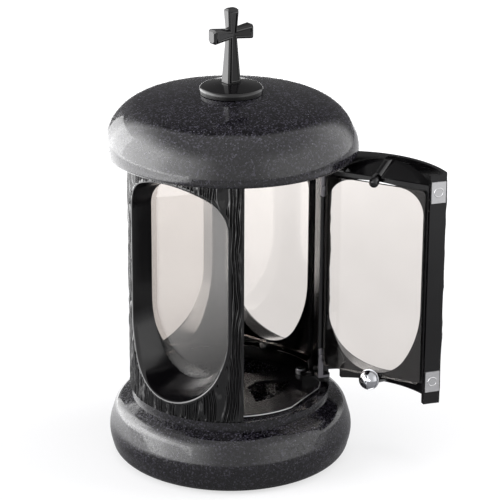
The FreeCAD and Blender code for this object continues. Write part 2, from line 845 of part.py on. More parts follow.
def make_hinge_pin(plate_level, way):
    low, high = sorted((plate_level, plate_level + way * hinge_pin_length))
    return hinge_bore(hinge_pin_radius, low, high)


def make_lug_screws():
    body = sunk_screw(lug_screw_length)
    return Part.makeCompound([aimed(body, Vector(0, 0, -way), lug_screw_point(level + way * lug_wall))
                              for level, way in ((floor_top, 1), (ceiling, -1))])


# Cross

def bevelled_wire(width, thickness, across, through, at):
    """Octagonal section: a rectangle with bevelled corners, across and through being its axes."""
    half_width = width / 2
    half_thickness = thickness / 2
    inner_width = half_width - cross_bevel
    inner_thickness = half_thickness - cross_bevel
    outline = [(inner_width, half_thickness), (half_width, inner_thickness),
               (half_width, -inner_thickness), (inner_width, -half_thickness),
               (-inner_width, -half_thickness), (-half_width, -inner_thickness),
               (-half_width, inner_thickness), (-inner_width, half_thickness)]
    points = [at + across * u + through * v for u, v in outline]
    return Part.makePolygon(points + points[:1])


def flared_limb(start, end, sizes_start, sizes_end, across, through):
    """Straight-sided limb between two bevelled sections, with a low crown on its far end."""
    along = (end - start).normalize()
    crown = end + along * cross_end_crown
    limb = Part.makeLoft([bevelled_wire(*sizes_start, across, through, start),
                          bevelled_wire(*sizes_end, across, through, end)], True, True)
    small = (sizes_end[0] - 2 * cross_end_crown, sizes_end[1] - 2 * cross_end_crown)
    cap = Part.makeLoft([bevelled_wire(*sizes_end, across, through, end),
                         bevelled_wire(*small, across, through, crown)], True, True)
    return limb.fuse(cap)


def make_cross(foot_top):
    across = Vector(1, 0, 0)
    through = Vector(0, 1, 0)
    waist = (cross_waist_width, cross_waist_thickness)
    crossing = Vector(0, 0, foot_top + cross_arm_level)
    bottom = Vector(0, 0, foot_top)
    top = Vector(0, 0, foot_top + cross_height - cross_end_crown)
    shaft = Part.makeLoft([bevelled_wire(cross_foot_width, cross_foot_thickness, across, through, bottom),
                           bevelled_wire(*waist, across, through, crossing)], True, True)
    head = flared_limb(crossing, top, waist, (cross_top_width, cross_top_thickness), across, through)
    cross = shaft.fuse(head)
    for side in (-1, 1):
        end = crossing + across * (side * (cross_span / 2 - cross_end_crown))
        arm_end = (cross_arm_end_height, cross_arm_end_thickness)
        arm = flared_limb(crossing, end, waist, arm_end, upright, through)
        cross = cross.fuse(arm)
    cross = cross.cut(cylinder(stud_radius + fit_gap, foot_top - overrun, foot_top + stud_in_cross + fit_gap))
    return turned_by(cross.removeSplitter(), -cross_turn_angle)


def make_cross_foot(roof, foot_bottom, foot_top):
    edge_top = foot_bottom + foot_edge_height
    foot = turned([(0, foot_bottom - foot_skirt, 0), (foot_radius, foot_bottom - foot_skirt, 0),
                   (foot_radius, edge_top, foot_edge_round), (foot_crown_radius, foot_top, foot_edge_round),
                   (0, foot_top, 0)])
    foot = foot.cut(cylinder(stud_radius + fit_gap, foot_bottom - 2 * foot_skirt, foot_top + overrun))
    return foot.cut(roof)


def make_stud(foot_top):
    return cylinder(stud_radius, stud_low(), foot_top + stud_in_cross)


def stud_low():
    return body_top + stud_pocket_depth - stud_washer_wall - stud_nut_height - fit_gap


def make_stud_washer():
    top = body_top + stud_pocket_depth
    return ring(stud_radius + fit_gap, stud_washer_radius, top - stud_washer_wall, top)


def make_stud_nut():
    top = body_top + stud_pocket_depth - stud_washer_wall
    corners = []
    for index in range(6):
        angle = math.radians(index * full_turn / 6)
        corners.append(Vector(stud_nut_radius * math.cos(angle), stud_nut_radius * math.sin(angle), 0))
    nut = prism(corners, top - stud_nut_height, top)
    return nut.cut(cylinder(stud_radius + fit_gap, top - stud_nut_height - overrun, top + overrun))


# Assembly

def three_turned(shape):
    """The same pieces on the right, back and left panels."""
    return Part.makeCompound([turned_by(shape, quarter * quarter_turn) for quarter in (1, 2, 3)])


def swung(shape):
    """A door piece turned from closed to its rest pose about the hinge."""
    copy = shape.copy()
    copy.rotate(hinge_point(0), upright, door_open_angle)
    return copy


nodes["base_stone"] = make_base_stone()
nodes["roof_stone"] = make_roof_stone()
nodes["floor_plate"] = make_floor_plate()
nodes["top_plate"] = make_top_plate()
nodes["base_anchors"] = make_anchors(body_bottom, -1)
nodes["roof_anchors"] = make_anchors(body_top, 1)
nodes["base_screws"] = make_anchor_screws(floor_top, -1)
nodes["roof_screws"] = make_anchor_screws(ceiling, 1)
nodes["panel_screws_lower"] = make_panel_screws(body_bottom, 1)
nodes["panel_screws_upper"] = make_panel_screws(body_top, -1)

fixed_panel = make_fixed_panel()
nodes["panel_left"] = make_left_panel(fixed_panel)
nodes["panel_back"] = turned_by(fixed_panel, 2 * quarter_turn)
nodes["panel_right"] = turned_by(fixed_panel, quarter_turn)
pane = make_pane()
nodes["pane_left"] = turned_by(pane, -quarter_turn)
nodes["pane_back"] = turned_by(pane, 2 * quarter_turn)
nodes["pane_right"] = turned_by(pane, quarter_turn)
pane_screw = make_pane_screw(pane_screw_level, 1)
nodes["pane_screws"] = three_turned(Part.makeCompound([pane_screw, make_pane_screw(pane_knob_level, -1)]))
nodes["catch_magnets"] = make_catch_magnets()

foot_bottom = roof_top
foot_top = foot_bottom + foot_height
nodes["cross_foot"] = make_cross_foot(nodes["roof_stone"], foot_bottom, foot_top)
nodes["cross"] = make_cross(foot_top)
nodes["cross_stud"] = make_stud(foot_top)
nodes["stud_washer"] = make_stud_washer()
nodes["stud_nut"] = make_stud_nut()

nodes["hinge_lug_lower"] = make_hinge_lug(floor_top, 1)
nodes["hinge_lug_upper"] = make_hinge_lug(ceiling, -1)
nodes["hinge_pin_lower"] = make_hinge_pin(floor_top, 1)
nodes["hinge_pin_upper"] = make_hinge_pin(ceiling, -1)
nodes["lug_screws"] = make_lug_screws()

nodes["door_panel"] = swung(make_door_panel())
nodes["door_pane"] = swung(pane)
nodes["door_pane_screw"] = swung(pane_screw)
nodes["door_knob"] = swung(make_pane_knob())
nodes["door_washer"] = swung(make_pane_washer())
nodes["catch_plates"] = swung(make_catch_plates())
nodes["catch_screws"] = swung(make_catch_screws())
nodes["hinge_leaf_lower"] = swung(make_hinge_leaf(notch_low, 1))
nodes["hinge_leaf_upper"] = swung(make_hinge_leaf(notch_high, -1))
nodes["leaf_screws"] = swung(make_leaf_screws())

os.makedirs("parts", exist_ok=True)
for name, shape in nodes.items():
    solids = shape.Solids
    whole = solids[0] if len(solids) == 1 else Part.makeCompound(solids)
    whole.exportStep("parts/" + name + ".step")
    box = whole.BoundBox
    print(f"{name}: {len(solids)} solids, valid {whole.isValid()}, volume {whole.Volume:.1f}, "
          f"x {box.XMin:.1f} to {box.XMax:.1f}, y {box.YMin:.1f} to {box.YMax:.1f}, "
          f"z {box.ZMin:.1f} to {box.ZMax:.1f}")
print("hinge at", hinge_point(0).x, hinge_point(0).y)
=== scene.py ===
# %% [markdown]
# # A grave lantern
# This lantern stands on a grave and shelters a candle. A polished granite base carries a black cast
# body of four curved panels. Each panel has a tall window with a flat pane behind it, and one panel is
# a door. A granite roof with a cast cross closes it. The moving frame is read first, and every piece
# below is built around it in the same place.

# %% Read the frame
import bmesh
import bpy
import json
import math
from mathutils import Matrix, Vector
from mathutils.geometry import convex_hull_2d


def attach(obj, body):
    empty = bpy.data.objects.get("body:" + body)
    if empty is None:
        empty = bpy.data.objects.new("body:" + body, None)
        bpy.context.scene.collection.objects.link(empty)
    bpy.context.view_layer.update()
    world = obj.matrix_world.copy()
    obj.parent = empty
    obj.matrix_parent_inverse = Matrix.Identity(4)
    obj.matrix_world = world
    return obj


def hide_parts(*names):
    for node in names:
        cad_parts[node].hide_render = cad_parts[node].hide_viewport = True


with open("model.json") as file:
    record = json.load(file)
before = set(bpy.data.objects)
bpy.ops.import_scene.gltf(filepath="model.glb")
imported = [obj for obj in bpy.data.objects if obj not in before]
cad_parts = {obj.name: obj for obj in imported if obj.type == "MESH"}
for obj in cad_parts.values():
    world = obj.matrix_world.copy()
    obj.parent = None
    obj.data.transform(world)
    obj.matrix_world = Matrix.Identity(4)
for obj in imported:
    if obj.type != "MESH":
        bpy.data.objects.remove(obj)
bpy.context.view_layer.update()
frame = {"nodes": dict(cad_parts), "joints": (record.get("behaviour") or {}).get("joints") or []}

# %% [markdown]
# ## Tools of the trade
# A few small helpers do most of the work. One turns a screen colour into the linear colour that a
# shader needs. One adds a node with its settings and links in a single call, and another starts a
# material. One makes a mesh from points given in millimetres, and one spins an outline round the
# upright axis, as a stonemason's lathe does.

# %% Colours and nodes
MM = 0.001


def paint(hex_code):
    """Linear colour from an sRGB hex code."""
    channels = [int(hex_code[i:i + 2], 16) / 255 for i in (1, 3, 5)]
    linear = [c / 12.92 if c <= 0.04045 else ((c + 0.055) / 1.055) ** 2.4 for c in channels]
    return (*linear, 1.0)


def wire(node, inputs):
    """Fill a node's inputs. Each takes a plain value, an output, or a node, which stands for its
    first output."""
    for key, value in inputs.items():
        if isinstance(value, bpy.types.Node):
            value = value.outputs[0]
        if isinstance(value, bpy.types.NodeSocket):
            node.id_data.links.new(value, node.inputs[key])
        else:
            node.inputs[key].default_value = value


def add_node(tree, kind, inputs=None, stops=(), **settings):
    """Add a node with its settings and inputs. A colour ramp also takes its stops, each a position
    and a colour."""
    node = tree.nodes.new(kind)
    for key, value in settings.items():
        setattr(node, key, value)
    wire(node, inputs or {})
    if stops:
        elements = node.color_ramp.elements
        while len(elements) < len(stops):
            elements.new(0.5)
        for element, (position, colour) in zip(elements, stops):
            element.position = position
            element.color = paint(colour)
    return node


def new_material(name):
    """Empty material with a principled shader. Gives the material, its tree and the shader."""
    material = bpy.data.materials.new(name)
    material.use_nodes = True
    tree = material.node_tree
    tree.nodes.clear()
    shader = add_node(tree, "ShaderNodeBsdfPrincipled")
    add_node(tree, "ShaderNodeOutputMaterial", {"Surface": shader})
    return material, tree, shader


print("a grey of #808080 is", round(paint("#808080")[0], 3), "in linear light")

# %% Meshes and lathes
MERGE_DISTANCE = 0.0005
ARC_STEPS = 14
LATHE_STEPS = 256
HARD_CORNER = 35


def make_piece(name, points, faces, material):
    """Smooth mesh object from points in millimetres that already lie in their place."""
    mesh = bpy.data.meshes.new(name)
    mesh.from_pydata([Vector(p) * MM for p in points], [], faces)
    mesh.materials.append(material)
    mesh.polygons.foreach_set("use_smooth", [True] * len(mesh.polygons))
    piece = bpy.data.objects.new(name, mesh)
    bpy.context.scene.collection.objects.link(piece)
    return piece


def tidy_normals(piece):
    """Merge doubles, then turn every face outwards."""
    work = bmesh.new()
    work.from_mesh(piece.data)
    bmesh.ops.remove_doubles(work, verts=work.verts, dist=MERGE_DISTANCE * MM)
    bmesh.ops.recalc_face_normals(work, faces=work.faces)
    work.to_mesh(piece.data)
    work.free()
    return piece


def rounded(corners):
    """Outline points from (radius, level, rounding) corners."""
    points = []
    for index, (x, y, radius) in enumerate(corners):
        here = Vector((x, y))
        if radius == 0:
            points.append(here)
            continue
        back = (Vector(corners[index - 1][:2]) - here).normalized()
        ahead = (Vector(corners[(index + 1) % len(corners)][:2]) - here).normalized()
        half = back.angle(ahead) / 2
        middle = here + (back + ahead).normalized() * (radius / math.sin(half))
        start = here + back * (radius / math.tan(half)) - middle
        end = here + ahead * (radius / math.tan(half)) - middle
        first = math.atan2(start.y, start.x)
        sweep = (math.atan2(end.y, end.x) - first + math.pi) % (2 * math.pi) - math.pi
        for step in range(ARC_STEPS + 1):
            angle = first + sweep * step / ARC_STEPS
            points.append(middle + Vector((math.cos(angle), math.sin(angle))) * radius)
    return points


def spin(name, outline, material, steps=LATHE_STEPS):
    """Closed turned piece from an outline that starts and ends on the axis. Its hard corners stay hard."""
    inner = outline[1:-1]
    points = [(0, 0, outline[0][1])]
    for radius, level in inner:
        for step in range(steps):
            angle = 2 * math.pi * step / steps
            points.append((radius * math.cos(angle), radius * math.sin(angle), level))
    points.append((0, 0, outline[-1][1]))
    faces = []
    rows = len(inner)
    for step in range(steps):
        after = (step + 1) % steps
        faces.append((0, 1 + after, 1 + step))
        for row in range(rows - 1):
            a = 1 + row * steps
            faces.append((a + step, a + after, a + steps + after, a + steps + step))
        last = 1 + (rows - 1) * steps
        faces.append((last + step, last + after, len(points) - 1))
    piece = tidy_normals(make_piece(name, points, faces, material))
    piece.data.set_sharp_from_angle(angle=math.radians(HARD_CORNER))
    return piece


print("the lathe takes", LATHE_STEPS, "steps and keeps corners over", HARD_CORNER, "degrees hard")

# %% [markdown]
# ## Finishes
# Each finish starts from the real material. The stones are a near-black gabbro that is sold as granite,
# ground and polished until they mirror. Dark and pale minerals take the polish unevenly, so every
# reflection breaks into fine grains, and a few pale crystals stand out. Real grains are about half a
# millimetre across. They are drawn about twice as coarse, so that they show at the camera's distance.

# %% Polished black granite
GRAIN_MM = 0.95
FLECK_MM = 1.15
CRYSTAL_TONES = [(0.0, "#060508"), (0.5, "#0c0a0f"), (0.8, "#1d1b22"), (1.0, "#403e48")]
DULL_FROM = 0.45
DULLEST_GRAIN = 6
FLECK_CORE = (0.14, 0.34)
FLECK_LOT = (0.84, 0.97)
FLECK_COLOUR = "#a3a2ac"
FLECK_STRENGTH = 0.38
GRANITE_IOR = 1.54


def pattern_scale(size):
    """Scale of a pattern whose parts measure this many millimetres."""
    return 1 / (size * MM)


def make_granite(name, roughness):
    """Cells set the tone and the polish of each crystal, and a few larger cells have a pale core. The
    numbered inputs of a Map Range are its value, the span it comes from and the span it goes to."""
    material, tree, shader = new_material(name)
    place = add_node(tree, "ShaderNodeTexCoord").outputs["Object"]
    grains = add_node(tree, "ShaderNodeTexVoronoi", {"Vector": place, "Scale": pattern_scale(GRAIN_MM)})
    crystal = add_node(tree, "ShaderNodeSeparateColor", {0: grains.outputs["Color"]})
    tone = add_node(tree, "ShaderNodeValToRGB", {0: crystal}, CRYSTAL_TONES)
    polish = add_node(tree, "ShaderNodeMapRange", {
        0: crystal.outputs[1], 1: DULL_FROM, 2: 1.0, 3: roughness, 4: roughness * DULLEST_GRAIN})
    flecks = add_node(tree, "ShaderNodeTexVoronoi", {"Vector": place, "Scale": pattern_scale(FLECK_MM)})
    core = add_node(tree, "ShaderNodeMapRange",
                    {0: flecks, 1: FLECK_CORE[0], 2: FLECK_CORE[1], 3: 1.0, 4: 0.0})
    lot = add_node(tree, "ShaderNodeSeparateColor", {0: flecks.outputs["Color"]})
    chosen = add_node(tree, "ShaderNodeMapRange",
                      {0: lot, 1: FLECK_LOT[0], 2: FLECK_LOT[1], 3: 0.0, 4: FLECK_STRENGTH})
    share = add_node(tree, "ShaderNodeMath", {0: core, 1: chosen}, operation="MULTIPLY")
    mixed = add_node(tree, "ShaderNodeMix", {0: share, 6: tone, 7: paint(FLECK_COLOUR)}, data_type="RGBA")
    wire(shader, {"Base Color": mixed.outputs[2], "Roughness": polish, "IOR": GRANITE_IOR})
    return material


granite = make_granite("Polished black granite", 0.06)
print("granite grain", GRAIN_MM, "mm, flecks", FLECK_MM, "mm")

# %% [markdown]
# The castings are aluminium, stove enamelled in black. The enamel flows out while it bakes, so the
# smooth parts shine and only a faint orange peel is left. It is glossiest on the cross, and on the bark
# a finer peel breaks up the light on each ridge. The floor plate is the same enamel on flat sheet. Its
# peel is wide and very faint, so its reflections are straight but soft.

# %% Black stove enamel
PATCH_MM = 22
PATCH_COLOUR = "#0c0b0d"
PEEL_STRENGTH = 0.2
ENAMEL_IOR = 1.5


def make_enamel(name, colour, roughness, peel_mm, peel_depth):
    """Baked enamel with an orange peel. Broad patches of it differ a little in tone and shine. Noise
    stays near its middle, so a span such as 0.3 to 0.7 takes in nearly all of it."""
    material, tree, shader = new_material(name)
    place = add_node(tree, "ShaderNodeTexCoord").outputs["Object"]
    peel = add_node(tree, "ShaderNodeTexNoise",
                    {"Vector": place, "Scale": pattern_scale(peel_mm), "Detail": 2.0})
    patches = add_node(tree, "ShaderNodeTexNoise",
                       {"Vector": place, "Scale": pattern_scale(PATCH_MM), "Detail": 2.0})
    tone = add_node(tree, "ShaderNodeValToRGB", {0: patches}, [(0.3, colour), (0.7, PATCH_COLOUR)])
    rough = add_node(tree, "ShaderNodeMapRange",
                     {0: patches, 1: 0.3, 2: 0.7, 3: roughness * 0.8, 4: roughness * 1.25})
    bump = add_node(tree, "ShaderNodeBump",
                    {"Height": peel, "Strength": PEEL_STRENGTH, "Distance": peel_depth * MM})
    wire(shader, {"Base Color": tone, "Roughness": rough, "Normal": bump, "IOR": ENAMEL_IOR})
    return material


casting = make_enamel("Black stove enamel on casting", "#080709", 0.16, peel_mm=7.0, peel_depth=0.03)
bark_enamel = make_enamel("Black stove enamel on bark", "#040405", 0.16, peel_mm=1.2, peel_depth=0.05)
gloss_enamel = make_enamel("Black gloss enamel on cross", "#0a090b", 0.1, peel_mm=2.5, peel_depth=0.01)
sheet_enamel = make_enamel("Black gloss enamel on sheet", "#141116", 0.2, peel_mm=9.0, peel_depth=0.01)
print("enamels", [finish.name for finish in (casting, bark_enamel, gloss_enamel, sheet_enamel)])

# %% [markdown]
# Bright pieces are metal: chrome plate on the knob, tumbled zinc on the catches, the same zinc in a
# darker tone on the hinge leaves, which is painted shade, and plain steel and brass out of sight. A
# metal keeps the shader's own IOR and has only a tint and a roughness. Fine scratches vary the
# roughness, which softens the edges of each highlight.
# Real ones are a few hundredths of a millimetre wide, and are drawn much coarser so that they show.
# The small screws are blackened, which gives a thin dark film like enamel.

# %% Metals
def make_metal(name, colour, roughness, scratch_mm):
    """Bare or plated metal whose roughness varies with its scratches."""
    material, tree, shader = new_material(name)
    place = add_node(tree, "ShaderNodeTexCoord").outputs["Object"]
    scratches = add_node(tree, "ShaderNodeTexNoise",
                         {"Vector": place, "Scale": pattern_scale(scratch_mm), "Detail": 4.0})
    rough = add_node(tree, "ShaderNodeMapRange",
                     {0: scratches, 1: 0.25, 2: 0.75, 3: roughness * 0.7, 4: roughness * 1.4})
    wire(shader, {"Base Color": paint(colour), "Roughness": rough, "Metallic": 1.0})
    return material


chrome = make_metal("Chrome plate", "#b4b5b9", 0.09, scratch_mm=3.0)
zinc = make_metal("Tumbled zinc plate", "#cfcfd0", 0.33, scratch_mm=0.8)
# Zinc plate in a darker tone for the hinge leaves and their screws: painted shade.
shaded_zinc = make_metal("Zinc plate darkened as painted shade", "#7b797d", 0.34, scratch_mm=0.8)
steel = make_metal("Plain steel", "#737376", 0.3, scratch_mm=0.8)
brass = make_metal("Turned brass", "#b08d57", 0.25, scratch_mm=0.8)
black_oxide = make_enamel("Black oxide on steel", "#141416", 0.22, peel_mm=0.6, peel_depth=0.01)
print("metals", [finish.name for finish in (chrome, zinc, shaded_zinc, steel, brass, black_oxide)])

# %% [markdown]
# The panes are clear sheet glass, two millimetres thick, cut to the window and drilled for its screws.
# Seen against white the sheet has a faint warm tint, which drifts by a trace every few centimetres. It
# is smooth, so it mirrors the room sharply.

# %% Clear glass
TINT_DRIFT_MM = 30
GLASS_TINTS = [(0.3, "#d9d4d0"), (0.7, "#ddd8d4")]
GLASS_IOR = 1.51


def make_glass(name):
    """Smooth clear sheet with a faint tint."""
    material, tree, shader = new_material(name)
    place = add_node(tree, "ShaderNodeTexCoord").outputs["Object"]
    drift = add_node(tree, "ShaderNodeTexNoise",
                     {"Vector": place, "Scale": pattern_scale(TINT_DRIFT_MM), "Detail": 2.0})
    tint = add_node(tree, "ShaderNodeValToRGB", {0: drift}, GLASS_TINTS)
    wire(shader, {"Base Color": tint, "Roughness": 0.0, "IOR": GLASS_IOR, "Transmission Weight": 1.0})
    return material


clear_glass = make_glass("Clear sheet glass")
print("glass of IOR", GLASS_IOR)

# %% [markdown]
# ## Finishes on the frame's own nodes
# Most small pieces already have their true shape in the frame, so they only need their finish.

# %% Dress the nodes
finishes = {
    casting: ["panel_left", "panel_back", "panel_right", "door_panel",
              "hinge_lug_lower", "hinge_lug_upper"],
    sheet_enamel: ["floor_plate", "top_plate"],
    granite: ["base_stone", "roof_stone"],
    gloss_enamel: ["cross", "cross_foot"],
    clear_glass: ["pane_left", "pane_back", "pane_right", "door_pane"],
    chrome: ["door_knob", "door_washer"],
    zinc: ["catch_plates", "catch_screws", "catch_magnets"],
    # The hinge leaves and their screws take the darker zinc, which is painted shade.
    shaded_zinc: ["hinge_leaf_lower", "hinge_leaf_upper", "leaf_screws"],
    steel: ["base_screws", "roof_screws", "panel_screws_lower", "panel_screws_upper",
            "cross_stud", "stud_washer", "stud_nut", "hinge_pin_lower", "hinge_pin_upper"],
    brass: ["base_anchors", "roof_anchors"],
    black_oxide: ["pane_screws", "door_pane_screw", "lug_screws"],
}
for finish, names in finishes.items():
    for name in names:
        materials = frame["nodes"][name].data.materials
        materials.clear()
        materials.append(finish)
print("dressed", sum(len(names) for names in finishes.values()), "of", len(frame["nodes"]), "nodes")

# %% [markdown]
# ## The two stones
# Both stones are ground on a lathe, so each is one outline spun round the axis. A polished stone shows
# every flat in its reflections, so the spin has many steps. The base has a rounded foot, a full side
# and a sloping shoulder round a raised seat for the body, and a well under the floor plate. Each corner
# of its outline is a radius, a level and a rounding.

# %% Base stone
BASE_FOOT = (76.6, 0, 7.7)
BASE_SIDE = (80.8, 16.3, 22.0)
BASE_SHOULDER = (75.5, 34.0, 9.9)
SEAT_RADIUS = 65.0
SEAT_FOOT = 38.7
SEAT_LEVEL = 44.0
WELL_RADIUS = 41.5
WELL_LEVEL = 32.0
base_outline = rounded([
    (0, 0, 0), BASE_FOOT, BASE_SIDE, BASE_SHOULDER,
    (SEAT_RADIUS, SEAT_FOOT, 0), (SEAT_RADIUS, SEAT_LEVEL, 0),
    (WELL_RADIUS, SEAT_LEVEL, 0), (WELL_RADIUS, WELL_LEVEL, 0), (0, WELL_LEVEL, 0)])
base = spin("granite_base", base_outline, granite)
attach(base, "lantern")
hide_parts("base_stone")
print("base stone", len(base.data.polygons), "faces")

# %% [markdown]
# The roof is a flat dome with a tight lip below. Both outlines are arches: one wide arc over the crown
# runs into a tighter one at the side, as a template for such a stone is drawn.

# %% Roof stone
def arch(half, rise, side_radius):
    """Three arcs over a span: the crown's radius and where a side arc meets it."""
    crown_radius = (half ** 2 + rise ** 2 - 2 * half * side_radius) / (2 * (rise - side_radius))
    across = half - side_radius
    down = crown_radius - rise
    reach = math.hypot(across, down)
    way = 1 if crown_radius > side_radius else -1
    return (crown_radius, crown_radius * way * across / reach,
            rise - crown_radius + crown_radius * way * down / reach)


def arch_points(half, rise, side_radius, side_steps, crown_steps):
    """Points from (half, 0) over the crown to the middle at (0, rise)."""
    crown_radius, join_x, join_y = arch(half, rise, side_radius)
    start = half - side_radius
    side_angle = math.atan2(join_y, join_x - start)
    points = [(start + side_radius * math.cos(side_angle * i / side_steps),
               side_radius * math.sin(side_angle * i / side_steps)) for i in range(side_steps)]
    crown_angle = math.asin(join_x / crown_radius)
    for i in range(crown_steps + 1):
        angle = crown_angle * (1 - i / crown_steps)
        points.append((crown_radius * math.sin(angle), rise - crown_radius + crown_radius * math.cos(angle)))
    return points


ROOF_SEAT = 204.0
ROOF_RADIUS = 81.5
LIP_SEAT = 65.3
LIP_RISE = 4.5
LIP_ROUND = 2.2
DOME_RISE = 35.5
DOME_SIDE = 30.5
rim_level = ROOF_SEAT + LIP_RISE
lip_arc = arch_points(ROOF_RADIUS - LIP_SEAT, LIP_RISE, LIP_ROUND, side_steps=10, crown_steps=14)
dome_arc = arch_points(ROOF_RADIUS, DOME_RISE, DOME_SIDE, side_steps=30, crown_steps=40)
lip = [(LIP_SEAT + x, rim_level - y) for x, y in lip_arc]
dome = [(x, rim_level + y) for x, y in dome_arc]
roof_outline = [(0, ROOF_SEAT)] + lip[::-1] + dome[1:]
roof = spin("granite_roof", roof_outline, granite)
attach(roof, "lantern")
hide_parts("roof_stone")
print("roof stone", len(roof.data.polygons), "faces")

# %% [markdown]
# The cross stands on a low turned foot, which is spun from its outline in the same way.

# %% Foot of the cross
FOOT_UNDERSIDE = (0, 243.6, 0)
FOOT_EDGE = (20.2, 243.35, 0.5)
FOOT_RIM = (20.4, 247.7, 2.2)
FOOT_CROWN = (8.0, 250.1, 5.0)
FOOT_TOP = (0, 250.35, 0)
FOOT_STEPS = 128
foot_outline = rounded([FOOT_UNDERSIDE, FOOT_EDGE, FOOT_RIM, FOOT_CROWN, FOOT_TOP])
foot = spin("cross_foot_turned", foot_outline, gloss_enamel, FOOT_STEPS)
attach(foot, "lantern")
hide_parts("cross_foot")
print("foot of the cross", len(foot.data.polygons), "faces")

# %% [markdown]
# ## Painted highlight on the floor plate's edge
# The floor plate's edge shows as a thin bright line in the doorway. A thin bead of bright zinc
# carried along a path paints that highlight, and the path is read from the frame's own plate. The
# same bead makes the border of the cross and the rings on the catches.

# %% Plate edge
def bead(name, path, axes, radius, material, sides=8):
    """Round bead along a closed path. Each path point has two axes to draw its circle in."""
    points = []
    for here, (across, up) in zip(path, axes):
        for side in range(sides):
            angle = 2 * math.pi * side / sides
            points.append(here + (across * math.cos(angle) + up * math.sin(angle)) * radius)
    count = len(path)
    faces = []
    for i in range(count):
        after = (i + 1) % count
        for side in range(sides):
            turn = (side + 1) % sides
            faces.append((i * sides + side, after * sides + side, after * sides + turn, i * sides + turn))
    return tidy_normals(make_piece(name, points, faces, material))


UP = Vector((0, 0, 1))
PLATE_EDGE_RADIUS = 0.4
EDGE_DEPTH_SHARE = 0.6
LEVEL_SLACK = 0.01
plate_points = [v.co / MM for v in frame["nodes"]["floor_plate"].data.vertices]
plate_top = max(p.z for p in plate_points)
outer = [p.xy for p in plate_points if p.z > plate_top - LEVEL_SLACK]
edge_level = plate_top - PLATE_EDGE_RADIUS * EDGE_DEPTH_SHARE
edge_path = [Vector((*outer[i], edge_level)) for i in convex_hull_2d(outer)]
edge_axes = [(Vector((p.x, p.y, 0)).normalized(), UP) for p in edge_path]
# The bead is bright zinc along the enamelled plate's edge, a painted highlight.
edge = bead("floor_plate_edge_highlight", edge_path, edge_axes, PLATE_EDGE_RADIUS, zinc)
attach(edge, "lantern")
print("plate edge from", len(edge_path), "points")

# %% [markdown]
# ## Border of the cross
# The cross is cast with a raised border along its edges, front and back, and the light breaks on it.
# It is the same kind of bead. Each limb widens and thickens from the crossing to its end, so the border
# follows the limb's two tapers, a little way in from the edge.

# %% Cross border
CROSS_TURN = math.radians(-17.0)
CROSSING_LEVEL = 281.7
WAIST_HALF = (3.0, 2.7)
LIMBS = [
    ((1, 0), 14.2, 13.0, (4.6, 3.9)),
    ((0, 1), 15.2, 14.0, (4.05, 3.45)),
    ((-1, 0), 14.2, 13.0, (4.6, 3.9)),
    ((0, -1), 31.3, 30.2, (5.0, 4.45)),
]
BORDER_INSET = 1.6
BORDER_RADIUS = 0.7
INNER_CORNER = 1.55
INNER_LIFT = 0.12


def border_corners():
    """Corners of the border seen from the front, anticlockwise: across, up, and half thickness there.
    Each limb has its way, its length, where its border ends, and its half width and thickness at the end."""
    corners = []
    for (x, z), length, end, (wide, thick) in LIMBS:
        share = end / length
        side = WAIST_HALF[0] + (wide - WAIST_HALF[0]) * share - BORDER_INSET
        depth = WAIST_HALF[1] + (thick - WAIST_HALF[1]) * share
        corners.append((x * end + z * side, z * end - x * side, depth))
        corners.append((x * end - z * side, z * end + x * side, depth))
        inner = ((x - z) * INNER_CORNER, (z + x) * INNER_CORNER, WAIST_HALF[1] + INNER_LIFT)
        corners.append(inner)
    return corners


def make_border(name, way):
    """Bead along the border's corners, with mitred turns. The way is -1 in front and 1 at the back."""
    corners = border_corners()
    turn = Matrix.Rotation(CROSS_TURN, 3, "Z")
    path, axes = [], []
    for i, (x, z, depth) in enumerate(corners):
        here = Vector((x, z))
        before = (here - Vector(corners[i - 1][:2])).normalized()
        after = (Vector(corners[(i + 1) % len(corners)][:2]) - here).normalized()
        middle = (before + after).normalized()
        out = Vector((middle.y, 0, -middle.x)) / middle.dot(after)
        path.append(turn @ Vector((x, way * depth, z)) + UP * CROSSING_LEVEL)
        axes.append((turn @ out, turn @ Vector((0, way, 0))))
    border = bead(name, path, axes, BORDER_RADIUS, gloss_enamel)
    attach(border, "lantern")
    return border


borders = [make_border("cross_border_front", -1), make_border("cross_border_back", 1)]
print("cross border", [len(border.data.polygons) for border in borders], "faces")

# %% [markdown]
# ## The window's outline
# Each window is a tapered passage. Its outline is made of arcs, and it grows evenly from the inner
# plate to the outside of the body. The outside is a cylinder, so the edge of the opening is found where
# each straight line of the passage meets that cylinder.

# %% Window edge on the body
BODY_RADIUS = SEAT_RADIUS
FRAME_DISTANCE = 41.0
MOUTH_DISTANCE = 66.0
WINDOW_INNER = dict(half=32.5, top=192.0, bottom=61.5,
                    top_shares=(0.554, 0.508), bottom_shares=(1.508, 2.151))
WINDOW_MOUTH = dict(half=44.4, top=199.6, bottom=53.6,
                    top_shares=(0.68, 0.61), bottom_shares=(0.884, 0.586))
SIDE_STEPS = 24
FARTHEST_SHARE = 1.5
HALVINGS = 40


